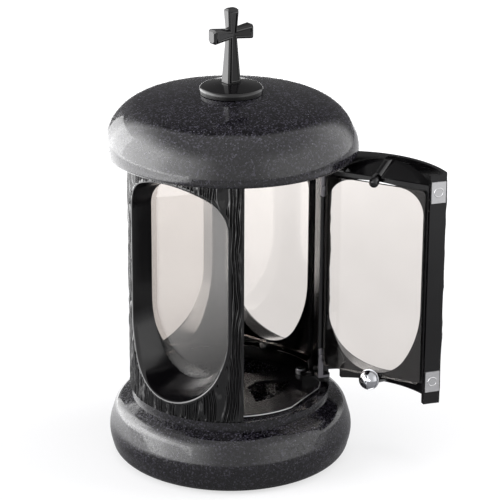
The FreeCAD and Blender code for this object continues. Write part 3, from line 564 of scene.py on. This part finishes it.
def window_outline(half, top, bottom, top_shares, bottom_shares):
    """Closed outline, anticlockwise from the right side. The shares are the rise and corner radius of
    each arched end over the half width, and every size has the same number of points."""
    top_rise, top_round = [half * share for share in top_shares]
    bottom_rise, bottom_round = [half * share for share in bottom_shares]
    upper = arch_points(half, top_rise, top_round, side_steps=14, crown_steps=20)
    lower = arch_points(half, bottom_rise, bottom_round, side_steps=20, crown_steps=16)
    top_spring = top - top_rise
    bottom_spring = bottom + bottom_rise
    right_top = [(x, top_spring + y) for x, y in upper]
    left_top = [(-x, z) for x, z in right_top[::-1]][1:]
    left_bottom = [(-x, bottom_spring - y) for x, y in lower]
    right_bottom = [(-x, z) for x, z in left_bottom[::-1]][1:]
    drop = (top_spring - bottom_spring) / SIDE_STEPS
    left_side = [(-half, top_spring - drop * i) for i in range(1, SIDE_STEPS)]
    right_side = [(half, bottom_spring + drop * i) for i in range(1, SIDE_STEPS)]
    return right_top + left_top + left_side + left_bottom + right_bottom + right_side


inner_edge = window_outline(**WINDOW_INNER)
mouth_edge = window_outline(**WINDOW_MOUTH)


def passage_point(index, share):
    """Point of the passage's wall: share 0 is the inner plate, share 1 the mouth."""
    (x0, z0), (x1, z1) = inner_edge[index], mouth_edge[index]
    distance = FRAME_DISTANCE + (MOUTH_DISTANCE - FRAME_DISTANCE) * share
    return Vector((x0 + (x1 - x0) * share, -distance, z0 + (z1 - z0) * share))


def share_on_body(index):
    """Share at which a line of the passage meets the body's cylinder, found by halving."""
    low, high = 0.0, FARTHEST_SHARE
    for _ in range(HALVINGS):
        middle = (low + high) / 2
        point = passage_point(index, middle)
        if math.hypot(point.x, point.y) < BODY_RADIUS:
            low = middle
        else:
            high = middle
    return low


def unroll(point):
    """Place on the body laid out flat: arc length from the panel's middle, and level."""
    return Vector((BODY_RADIUS * math.atan2(point.x, -point.y), point.z))


def roll(flat, height):
    """Back from the flat layout to the cylinder, some height above it."""
    angle = flat.x / BODY_RADIUS
    radius = BODY_RADIUS + height
    return Vector((radius * math.sin(angle), -radius * math.cos(angle), flat.y))


edge_shares = [share_on_body(i) for i in range(len(inner_edge))]
edge_flat = [unroll(passage_point(i, share)) for i, share in enumerate(edge_shares)]
print("window opening", round(max(p.x for p in edge_flat) * 2, 1), "mm round the body,",
      round(max(p.y for p in edge_flat) - min(p.y for p in edge_flat), 1), "mm tall")

# %% [markdown]
# ## Where each panel stands
# All four panels are the same casting, so a panel's trim is made once, facing the front, and turned to
# its side. The door's panel is swung about the hinge instead, by the angle at which it stands open.

# %% Where each panel stands
hinge = Vector(frame["joints"][0]["pos_m"]) / MM
DOOR_OPEN = 100.8
swing = (Matrix.Translation(hinge) @ Matrix.Rotation(math.radians(DOOR_OPEN), 4, "Z")
         @ Matrix.Translation(-hinge))
panels = {
    "left": Matrix.Rotation(math.radians(-90), 4, "Z"),
    "back": Matrix.Rotation(math.radians(180), 4, "Z"),
    "right": Matrix.Rotation(math.radians(90), 4, "Z"),
    "door": swing,
}
body_of = {"left": "lantern", "back": "lantern", "right": "lantern", "door": "door"}
print("hinge at", [round(v, 2) for v in hinge], "mm, door open", DOOR_OPEN, "degrees")

# %% [markdown]
# ## Rings on the catches
# Each catch plate carries a stamped ring where a magnet pulls on it. A stamping has soft edges, so the
# ring is a thin bead that stands half out of the plate's bright face. Where the face lies is measured on
# the frame's own plates.

# %% Stamped rings on the catch plates
RING_RADIUS = 2.9
RING_BEAD = 0.45
RING_STEPS = 40
catch_points = [v.co / MM for v in frame["nodes"]["catch_plates"].data.vertices]
face_way = swing.to_3x3() @ Vector((-math.sqrt(0.5), math.sqrt(0.5), 0))
along = face_way.cross(UP)
front = max(p.dot(face_way) for p in catch_points)
split = sum(p.z for p in catch_points) / len(catch_points)
plates = {
    "lower": [p for p in catch_points if p.z < split],
    "upper": [p for p in catch_points if p.z > split],
}
angles = [2 * math.pi * i / RING_STEPS for i in range(RING_STEPS)]
spokes = [along * math.cos(angle) + UP * math.sin(angle) for angle in angles]
for tag, chosen in plates.items():
    sides = [p.dot(along) for p in chosen]
    levels = [p.z for p in chosen]
    centre = (face_way * front + along * (min(sides) + max(sides)) / 2
              + UP * (min(levels) + max(levels)) / 2)
    ring = bead("catch_ring_" + tag, [centre + spoke * RING_RADIUS for spoke in spokes],
                [(spoke, face_way) for spoke in spokes], RING_BEAD, zinc)
    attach(ring, "door")
    print("ring at", [round(v, 1) for v in centre])

# %% [markdown]
# ## Window rims
# A smooth raised bead runs round each window and catches a thin line of light. It is a short profile
# carried round the window's edge: it starts down in the passage, rolls over the edge and dies away on
# the body. The profile is a list of steps away from the edge and heights above the body.

# %% Rims
RIM_PROFILE = [(0.0, 0.35), (0.25, 0.72), (0.7, 0.95), (1.3, 1.0),
               (1.9, 0.95), (2.4, 0.75), (2.75, 0.4), (2.9, -0.2)]
RIM_ROOT_SHARE = 0.09


def outward_flat(flat):
    """Unit normals of a closed flat outline, pointing away from its middle."""
    count = len(flat)
    normals = []
    for i in range(count):
        along = flat[(i + 1) % count] - flat[i - 1]
        normals.append(Vector((along.y, -along.x)).normalized())
    return normals


def make_rims():
    """Points and faces of a rim on the panel that faces the front."""
    normals = outward_flat(edge_flat)
    count = len(edge_flat)
    rows = [[passage_point(i, edge_shares[i] - RIM_ROOT_SHARE) for i in range(count)]]
    for side, height in RIM_PROFILE:
        rows.append([roll(edge_flat[i] + normals[i] * side, height) for i in range(count)])
    faces = []
    for row in range(len(rows) - 1):
        a = row * count
        for i in range(count):
            after = (i + 1) % count
            faces.append((a + i, a + after, a + count + after, a + count + i))
    return [point for row in rows for point in row], faces


rim_points, rim_faces = make_rims()
for tag, place in panels.items():
    rim = make_piece("window_rim_" + tag, [place @ point for point in rim_points], rim_faces, gloss_enamel)
    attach(rim, body_of[tag])
print("rims", len(panels), "of", len(rim_faces), "faces")

# %% [markdown]
# ## Bark skin
# The outside of each panel is cast like the bark of an old tree: narrow upright ridges with deep
# grooves that wander, split and join, each broken into short lumps. The skin follows a rule, so
# Geometry Nodes make it. A plain grid is laid on the panel with the window left out. A wave across the
# grid makes the ridges, stretched noise bends them, and finer noise breaks them up.

# %% Ridge nodes
RIDGE_INPUTS = {
    "Geometry": "NodeSocketGeometry",
    "Ridge pitch": "NodeSocketFloat",
    "Ridge length": "NodeSocketFloat",
    "Ridge depth": "NodeSocketFloat",
    "Seed": "NodeSocketFloat",
    "Finish": "NodeSocketMaterial",
}
BEND = 4.5
CREST_HEIGHT = 0.7
LEAST_SWELL = 0.6
LUMP_HEIGHT = 0.13


def make_ridge_tree():
    """Tree that pushes a grid outwards into bark, and the identifiers of its named inputs. The bend is
    how many ridges wide the wandering is, and the heights are shares of the ridge depth."""
    tree = bpy.data.node_groups.new("Bark ridges", "GeometryNodeTree")
    face = tree.interface
    face.new_socket("Geometry", in_out="OUTPUT", socket_type="NodeSocketGeometry")
    sockets = {name: face.new_socket(name, in_out="INPUT", socket_type=kind).identifier
               for name, kind in RIDGE_INPUTS.items()}
    given = add_node(tree, "NodeGroupInput").outputs
    across = add_node(tree, "GeometryNodeInputNamedAttribute", {"Name": "across"}, data_type="FLOAT")
    fade = add_node(tree, "GeometryNodeInputNamedAttribute", {"Name": "fade"}, data_type="FLOAT")
    outward = add_node(tree, "GeometryNodeInputNamedAttribute", {"Name": "outward"},
                       data_type="FLOAT_VECTOR")
    spot = add_node(tree, "ShaderNodeSeparateXYZ", {0: add_node(tree, "GeometryNodeInputPosition")})
    ridges = add_node(tree, "ShaderNodeMath", {0: across, 1: given["Ridge pitch"]}, operation="DIVIDE")
    lengths = add_node(tree, "ShaderNodeMath", {0: spot.outputs["Z"], 1: given["Ridge length"]},
                       operation="DIVIDE")

    def noise(across_scale, along_scale, layer):
        """Noise in ridge units, stretched along the ridges. Layers of one seed differ."""
        x = add_node(tree, "ShaderNodeMath", {0: ridges, 1: across_scale}, operation="MULTIPLY")
        y = add_node(tree, "ShaderNodeMath", {0: lengths, 1: along_scale}, operation="MULTIPLY")
        z = add_node(tree, "ShaderNodeMath", {0: given["Seed"], 1: layer}, operation="ADD")
        at = add_node(tree, "ShaderNodeCombineXYZ", {0: x, 1: y, 2: z})
        return add_node(tree, "ShaderNodeTexNoise", {"Vector": at, "Scale": 1.0, "Detail": 1.0})

    bend = add_node(tree, "ShaderNodeMath", {0: noise(0.3, 0.8, 0.0), 1: BEND}, operation="MULTIPLY")
    bent = add_node(tree, "ShaderNodeMath", {0: ridges, 1: bend}, operation="ADD")
    wave = add_node(tree, "ShaderNodeMath", {0: bent, 1: 0.5}, operation="PINGPONG")
    crest = add_node(tree, "ShaderNodeMapRange", {0: wave, 1: 0.02, 2: 0.5, 3: 0.0, 4: CREST_HEIGHT},
                     interpolation_type="SMOOTHSTEP")
    swell = add_node(tree, "ShaderNodeMapRange",
                     {0: noise(0.7, 1.1, 5.0), 1: 0.35, 2: 0.65, 3: LEAST_SWELL, 4: 1.0})
    lumps = add_node(tree, "ShaderNodeMapRange",
                     {0: noise(1.1, 4.0, 9.0), 1: 0.35, 2: 0.65, 3: 0.0, 4: LUMP_HEIGHT})
    ridge = add_node(tree, "ShaderNodeMath", {0: crest, 1: swell}, operation="MULTIPLY")
    lumpy = add_node(tree, "ShaderNodeMath", {0: ridge, 1: lumps}, operation="ADD")
    height = add_node(tree, "ShaderNodeMath", {0: lumpy, 1: given["Ridge depth"]}, operation="MULTIPLY")
    faded = add_node(tree, "ShaderNodeMath", {0: height, 1: fade}, operation="MULTIPLY")
    push = add_node(tree, "ShaderNodeVectorMath", {0: outward, "Scale": faded}, operation="SCALE")
    moved = add_node(tree, "GeometryNodeSetPosition", {"Geometry": given["Geometry"], "Offset": push})
    real = add_node(tree, "GeometryNodeRealizeInstances", {"Geometry": moved})
    dressed = add_node(tree, "GeometryNodeSetMaterial", {"Geometry": real, "Material": given["Finish"]})
    add_node(tree, "NodeGroupOutput", {"Geometry": dressed})
    return tree, sockets


def grow(piece, tree, sockets, values):
    """Turn a piece into the plain mesh that a node tree makes of it. Inputs are set by identifier."""
    modifier = piece.modifiers.new("Growth", "NODES")
    modifier.node_group = tree
    for name, value in values.items():
        modifier[sockets[name]] = value
    evaluated = piece.evaluated_get(bpy.context.evaluated_depsgraph_get())
    mesh = bpy.data.meshes.new_from_object(evaluated)
    piece.modifiers.clear()
    piece.data = mesh


ridge_tree, ridge_sockets = make_ridge_tree()
print("ridge tree of", len(ridge_tree.nodes), "nodes with inputs", list(ridge_sockets))

# %% [markdown]
# A panel covers a quarter of the round. Its grid has cells that are narrow across the ridges and tall
# along them. It stops a little under the window's rim, and the ridges fade out at the panel's ends and
# sides, where the skin dips under the casting's face. The door's panel has its hinge corners cut out,
# and its grid leaves them out too. Each point remembers three things for the nodes: how far it lies
# across the panel, how much of the bark it may show, and which way is outwards.

# %% Grid on a panel
GRID_ACROSS = 0.27
GRID_UP = 0.95
GRID_LIFT = 0.06
GRID_SINK = 0.15
RIM_COVER = 1.5
SIDE_FADE = 2.0
END_FADE = 1.2
covered_edge = [flat + normal * RIM_COVER for flat, normal in zip(edge_flat, outward_flat(edge_flat))]


def opening_half(level):
    """Half width of the window and its covered edge at a level, or 0 above and below it."""
    reach = 0.0
    for i, a in enumerate(covered_edge):
        b = covered_edge[(i + 1) % len(covered_edge)]
        if min(a.y, b.y) <= level <= max(a.y, b.y) and a.y != b.y:
            reach = max(reach, abs(a.x + (b.x - a.x) * (level - a.y) / (b.y - a.y)))
    return reach


def notch_reach(notch, arc, level, cells):
    """Distance from a point to the cut-out hinge corners, grown by some cells. It is 0 inside them."""
    if notch is None:
        return math.inf
    start, low, high = notch
    return math.hypot(max(0.0, start - arc - GRID_ACROSS * cells),
                      max(0.0, min(level - low, high - level) - GRID_UP * cells))


def panel_grid(bottom, top, free_gap, hinge_gap, notch):
    """Points and faces of the grid, and each point's place across, share of the bark and way out."""
    low = -(math.pi / 4 - math.asin(free_gap / BODY_RADIUS)) * BODY_RADIUS
    high = (math.pi / 4 - math.asin(hinge_gap / BODY_RADIUS)) * BODY_RADIUS
    columns = round((high - low) / GRID_ACROSS)
    rows = round((top - bottom) / GRID_UP)
    points, across, fade, outward = [], [], [], []
    for row in range(rows + 1):
        level = bottom + (top - bottom) * row / rows
        for column in range(columns + 1):
            arc = low + (high - low) * column / columns
            side = min(column, columns - column) * GRID_ACROSS / SIDE_FADE
            end = min(row, rows - row) * GRID_UP / END_FADE
            corner = notch_reach(notch, arc, level, 1) / END_FADE
            share = min(1.0, side) * min(1.0, end) * min(1.0, corner)
            points.append(roll(Vector((arc, level)), GRID_LIFT if share > 0 else -GRID_SINK))
            across.append(arc * MM)
            fade.append(share)
            outward.extend((math.sin(arc / BODY_RADIUS), -math.cos(arc / BODY_RADIUS), 0))
    halves = [opening_half(bottom + (top - bottom) * row / rows) for row in range(rows + 1)]
    faces = []
    for row in range(rows):
        middle = bottom + (top - bottom) * (row + 0.5) / rows
        for column in range(columns):
            arc = low + (high - low) * (column + 0.5) / columns
            if abs(arc) < min(halves[row], halves[row + 1]) or notch_reach(notch, arc, middle, 0.5) == 0:
                continue
            a = row * (columns + 1) + column
            faces.append((a, a + 1, a + columns + 2, a + columns + 1))
    return points, faces, across, fade, outward


print("window and covered edge", round(2 * opening_half((SEAT_LEVEL + ROOF_SEAT) / 2), 1), "mm wide")

# %% Bark on each panel
RIDGE_PITCH = 2.8
RIDGE_LENGTH = 30.0
RIDGE_DEPTH = 2.1
SEAM_GAP = 0.15
DOOR_BOTTOM = 46.3
DOOR_TOP = 203.1
DOOR_FREE_GAP = 1.5
DOOR_HINGE_GAP = 2.6
DOOR_NOTCH = (31.5, 52.5, 195.5)


def make_skin(tag, seed, bottom, top, free_gap, hinge_gap, notch=None):
    """Bark for one panel: laid out and grown facing the front, then turned to where the panel is."""
    points, faces, across, fade, outward = panel_grid(bottom, top, free_gap, hinge_gap, notch)
    skin = make_piece("bark_skin_" + tag, points, faces, bark_enamel)
    made = skin.data.attributes
    made.new("across", "FLOAT", "POINT").data.foreach_set("value", across)
    made.new("fade", "FLOAT", "POINT").data.foreach_set("value", fade)
    made.new("outward", "FLOAT_VECTOR", "POINT").data.foreach_set("vector", outward)
    grow(skin, ridge_tree, ridge_sockets, {
        "Ridge pitch": RIDGE_PITCH * MM, "Ridge length": RIDGE_LENGTH * MM,
        "Ridge depth": RIDGE_DEPTH * MM, "Seed": seed, "Finish": bark_enamel})
    work = bmesh.new()
    work.from_mesh(skin.data)
    loose = [vert for vert in work.verts if not vert.link_faces]
    bmesh.ops.delete(work, geom=loose, context="VERTS")
    in_place = Matrix.Scale(MM, 4) @ panels[tag] @ Matrix.Scale(1 / MM, 4)
    bmesh.ops.transform(work, matrix=in_place, verts=work.verts)
    work.to_mesh(skin.data)
    work.free()
    skin.data.polygons.foreach_set("use_smooth", [True] * len(skin.data.polygons))
    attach(skin, body_of[tag])
    return skin


skins = [make_skin(tag, seed, SEAT_LEVEL, ROOF_SEAT, SEAM_GAP, SEAM_GAP)
         for tag, seed in (("left", 3.0), ("back", 11.0), ("right", 19.0))]
skins.append(make_skin("door", 27.0, DOOR_BOTTOM, DOOR_TOP, DOOR_FREE_GAP, DOOR_HINGE_GAP, DOOR_NOTCH))
print("bark faces", [len(skin.data.polygons) for skin in skins])

# %% [markdown]
# ## Floor
# The lantern stands on a plain pale floor in a white studio. Polished granite and enamel show the room
# more than the lamps, so the floor looks one way to the camera and another way in a mirror. To the
# camera, and through a pane that it looks through, it glows up to plain white with distance, and it
# keeps the lantern's shadow. In a mirror it is dark near the lantern, bright at the left and back, and
# half bright far away, which gives the stones their dark side and their pale band. Each change of glow
# is spread over a stretch of floor, in metres.

# %% Kinds of ray
LEAST_BOUNCES = 0.5


def rays(tree):
    """Outputs that are 1 for three kinds of ray: seen by the camera, alone or through a pane; seen in a
    mirror; and scattered. A ray through a pane counts as glossy too, so the mirror bounces are counted."""
    way = add_node(tree, "ShaderNodeLightPath").outputs
    bounced = add_node(tree, "ShaderNodeMath", {0: way["Glossy Depth"], 1: LEAST_BOUNCES},
                       operation="GREATER_THAN")
    mirrored = add_node(tree, "ShaderNodeMath", {0: way["Is Glossy Ray"], 1: bounced},
                        operation="MULTIPLY")
    straight = add_node(tree, "ShaderNodeMath", {0: way["Is Transmission Ray"], 1: bounced},
                        operation="SUBTRACT")
    seen = add_node(tree, "ShaderNodeMath", {0: way["Is Camera Ray"], 1: straight}, operation="MAXIMUM")
    return seen, mirrored, way["Is Diffuse Ray"]


print("a mirror ray has more than", LEAST_BOUNCES, "mirror bounces")

# %% Pale studio floor
FLOOR_COLOUR = "#9c9c9e"
FLOOR_ROUGHNESS = 0.6
GLOW_WAY = Vector((-0.123, 0.976, 0))
SEEN_FADE = (0.2, 0.7)
LEFT_FADE = (0.05, 0.26)
FAR_FADE = (0.35, 0.8)
SEEN_NEAR = 0.66
MIRRORED_NEAR = 0.06
MIRRORED_LEFT = 2.6
MIRRORED_FAR = 0.5
floor_material, floor_tree, floor_shader = new_material("Pale studio floor")
seen, in_mirror, _ = rays(floor_tree)
place = add_node(floor_tree, "ShaderNodeTexCoord").outputs["Object"]
reach = add_node(floor_tree, "ShaderNodeVectorMath", {0: place}, operation="LENGTH").outputs["Value"]
leftwards = add_node(floor_tree, "ShaderNodeVectorMath", {0: place, 1: GLOW_WAY},
                     operation="DOT_PRODUCT").outputs["Value"]
seen_level = add_node(floor_tree, "ShaderNodeMapRange",
                      {0: reach, 1: SEEN_FADE[0], 2: SEEN_FADE[1], 3: SEEN_NEAR, 4: 1.0},
                      interpolation_type="SMOOTHSTEP")
seen_glow = add_node(floor_tree, "ShaderNodeMath", {0: seen, 1: seen_level}, operation="MULTIPLY")
left_level = add_node(floor_tree, "ShaderNodeMapRange",
                      {0: leftwards, 1: LEFT_FADE[0], 2: LEFT_FADE[1], 3: MIRRORED_NEAR, 4: MIRRORED_LEFT},
                      interpolation_type="SMOOTHSTEP")
far_level = add_node(floor_tree, "ShaderNodeMapRange",
                     {0: reach, 1: FAR_FADE[0], 2: FAR_FADE[1], 3: MIRRORED_NEAR, 4: MIRRORED_FAR},
                     interpolation_type="SMOOTHSTEP")
mirror_level = add_node(floor_tree, "ShaderNodeMath", {0: left_level, 1: far_level}, operation="MAXIMUM")
mirror_glow = add_node(floor_tree, "ShaderNodeMath", {0: in_mirror, 1: mirror_level},
                       operation="MULTIPLY")
strength = add_node(floor_tree, "ShaderNodeMath", {0: seen_glow, 1: mirror_glow}, operation="MAXIMUM")
glow = add_node(floor_tree, "ShaderNodeEmission", {"Color": (1, 1, 1, 1), "Strength": strength})
wire(floor_shader, {"Base Color": paint(FLOOR_COLOUR), "Roughness": FLOOR_ROUGHNESS,
                    "Specular IOR Level": 0.0})
both = add_node(floor_tree, "ShaderNodeAddShader", {0: floor_shader, 1: glow})
wire(next(node for node in floor_tree.nodes if node.type == "OUTPUT_MATERIAL"), {"Surface": both})
print("floor colour", FLOOR_COLOUR, "and glow", SEEN_NEAR, "to 1.0 where the camera sees it")

# %% Floor plane
FLOOR_REACH = 2000
FLOOR_LEVEL = -0.2
corners = [(x * FLOOR_REACH, y * FLOOR_REACH, FLOOR_LEVEL) for x, y in ((-1, -1), (1, -1), (1, 1), (-1, 1))]
floor = make_piece("studio_floor", corners, [(0, 1, 2, 3)], floor_material)
print("floor", 2 * FLOOR_REACH, "mm square")

# %% [markdown]
# ## World
# The world is the studio's walls. The camera sees them plain white, and they scatter a little light
# into the shadows. In a mirror they are brighter at the left and right and darker behind, as in a room
# with windows at its sides. High up every side is plain again, so the roof's crown mirrors an even
# ceiling. The sides are named as they lie in the picture. Each glow has the way it lies, where it
# begins and is full, and its strength.

# %% World
RIGHT = Vector((0.6018, -0.7986, 0))
TOWARD = Vector((-0.7986, -0.6018, 0))
SIDE_GLOWS = [(-RIGHT, 0.1, 0.95, 3.4), (RIGHT, 0.3, 0.8, 0.8), (-RIGHT, 0.8, 1.0, 3.0)]
BEHIND_FADE = (0.68, 0.86)
BEHIND_LOSS = 0.85
CROWN_FADE = (0.94, 0.975)
SHOULDER_FADE = (0.45, 0.85)
SCATTERED_LIGHT = 0.35
world = bpy.data.worlds.new("Studio")
bpy.context.scene.world = world
world.use_nodes = True
sky = world.node_tree
sky.nodes.clear()


def facing(vector, direction, start, end):
    """Smooth step from 0 to 1 as a vector turns towards a direction."""
    share = add_node(sky, "ShaderNodeVectorMath", {0: vector, 1: direction}, operation="DOT_PRODUCT")
    return add_node(sky, "ShaderNodeMapRange", {0: share.outputs["Value"], 1: start, 2: end},
                    interpolation_type="SMOOTHSTEP")


seen, in_mirror, scattered = rays(sky)
toward_sky = add_node(sky, "ShaderNodeTexCoord").outputs["Generated"]
flat_way = add_node(sky, "ShaderNodeVectorMath", {0: toward_sky, 1: (1, 1, 0)}, operation="MULTIPLY")
heading = add_node(sky, "ShaderNodeVectorMath", {0: flat_way}, operation="NORMALIZE")
below_crown = add_node(sky, "ShaderNodeMath", {0: 1.0, 1: facing(toward_sky, UP, *CROWN_FADE)},
                       operation="SUBTRACT")
below_shoulder = add_node(sky, "ShaderNodeMath", {0: 1.0, 1: facing(toward_sky, UP, *SHOULDER_FADE)},
                          operation="SUBTRACT")
lit = 1.0
for direction, start, end, level in SIDE_GLOWS:
    side = add_node(sky, "ShaderNodeMath", {0: facing(heading, direction, start, end), 1: below_shoulder},
                    operation="MULTIPLY")
    lit = add_node(sky, "ShaderNodeMath", {0: side, 1: level, 2: lit}, operation="MULTIPLY_ADD")
behind = add_node(sky, "ShaderNodeMath", {0: facing(heading, -TOWARD, *BEHIND_FADE), 1: below_crown},
                  operation="MULTIPLY")
kept = add_node(sky, "ShaderNodeMath", {0: behind, 1: -BEHIND_LOSS, 2: 1.0}, operation="MULTIPLY_ADD")
room = add_node(sky, "ShaderNodeMath", {0: lit, 1: kept}, operation="MULTIPLY")
mirrored = add_node(sky, "ShaderNodeMath", {0: room, 1: in_mirror}, operation="MULTIPLY")
shown = add_node(sky, "ShaderNodeMath", {0: seen, 1: mirrored}, operation="MAXIMUM")
spread = add_node(sky, "ShaderNodeMath", {0: scattered, 1: SCATTERED_LIGHT}, operation="MULTIPLY")
strength = add_node(sky, "ShaderNodeMath", {0: shown, 1: spread}, operation="MAXIMUM")
light = add_node(sky, "ShaderNodeBackground", {"Color": (1, 1, 1, 1), "Strength": strength})
add_node(sky, "ShaderNodeOutputWorld", {"Surface": light})
print("world of", len(sky.nodes), "nodes, side glows", [strength for *_, strength in SIDE_GLOWS])

# %% [markdown]
# ## Lamps
# Three large soft lamps light the lantern at a plain level, and polished surfaces don't show them. Two
# cards do the reverse: they stand to the left, glow only in polished surfaces, and draw the pale
# streaks on the left of the stones and the panes.

# %% Lamps
AIM = UP * 140
LAMPS = [
    ("Left softbox", -RIGHT * 900 + TOWARD * 300 + UP * 500, (700, 900), 9),
    ("Right softbox", RIGHT * 900 - TOWARD * 100 + UP * 450, (700, 900), 9),
    ("Top softbox", TOWARD * 100 + UP * 1400, (900, 900), 8),
]
CARDS = [
    ("High card", -RIGHT * 330 - TOWARD * 270 + UP * 193, (420, 375), 1.3),
    ("Low card", -RIGHT * 330 + TOWARD * 220 + UP * 140, (560, 125), 0.6),
]


def add_lamp(name, place, target, size, watts, is_card):
    """Rectangular lamp at a place in millimetres, aimed at a target."""
    lamp = bpy.data.lights.new(name, "AREA")
    lamp.shape = "RECTANGLE"
    lamp.size = size[0] * MM
    lamp.size_y = size[1] * MM
    lamp.energy = watts
    holder = bpy.data.objects.new(name, lamp)
    holder.visible_camera = False
    holder.visible_transmission = False
    holder.visible_glossy = is_card
    holder.visible_diffuse = not is_card
    holder.location = place * MM
    holder.rotation_euler = (target - place).to_track_quat("-Z", "Y").to_euler()
    bpy.context.scene.collection.objects.link(holder)


for name, place, size, watts in LAMPS:
    add_lamp(name, place, AIM, size, watts, is_card=False)
for name, place, size, watts in CARDS:
    add_lamp(name, place, place + RIGHT, size, watts, is_card=True)
print("lamps", [name for name, *_ in LAMPS], "cards", [name for name, *_ in CARDS])

# %% [markdown]
# ## Camera
# The photograph looks down on the lantern by about 20 degrees, from a metre and a half away and with a
# long lens. The camera's place, pitch and roll come from matching the outlines of the stones and body.

# %% Camera
CAMERA_PLACE = Vector((-1111.5, -853.1, 659.9))
CAMERA_PITCH = 0.357
CAMERA_ROLL = 0.005
FOCAL_PIXELS = 2310.7
FRAME_PIXELS = 500
SENSOR_MM = 36.0
camera_data = bpy.data.cameras.new("Photo angle")
camera_data.sensor_fit = "HORIZONTAL"
camera_data.sensor_width = SENSOR_MM
camera_data.lens = FOCAL_PIXELS * SENSOR_MM / FRAME_PIXELS
camera_data.clip_start = 0.05
camera_data.clip_end = 20
camera = bpy.data.objects.new("Photo angle", camera_data)
ahead = -TOWARD * math.cos(CAMERA_PITCH) - UP * math.sin(CAMERA_PITCH)
above = RIGHT.cross(ahead)
side = RIGHT * math.cos(CAMERA_ROLL) + above * math.sin(CAMERA_ROLL)
top = above * math.cos(CAMERA_ROLL) - RIGHT * math.sin(CAMERA_ROLL)
turned = Matrix((side, top, -ahead)).transposed().to_4x4()
camera.matrix_world = Matrix.Translation(CAMERA_PLACE * MM) @ turned
bpy.context.scene.collection.objects.link(camera)
bpy.context.scene.camera = camera
bpy.context.scene.view_settings.view_transform = "Standard"
print("camera lens", round(camera_data.lens, 1), "mm")
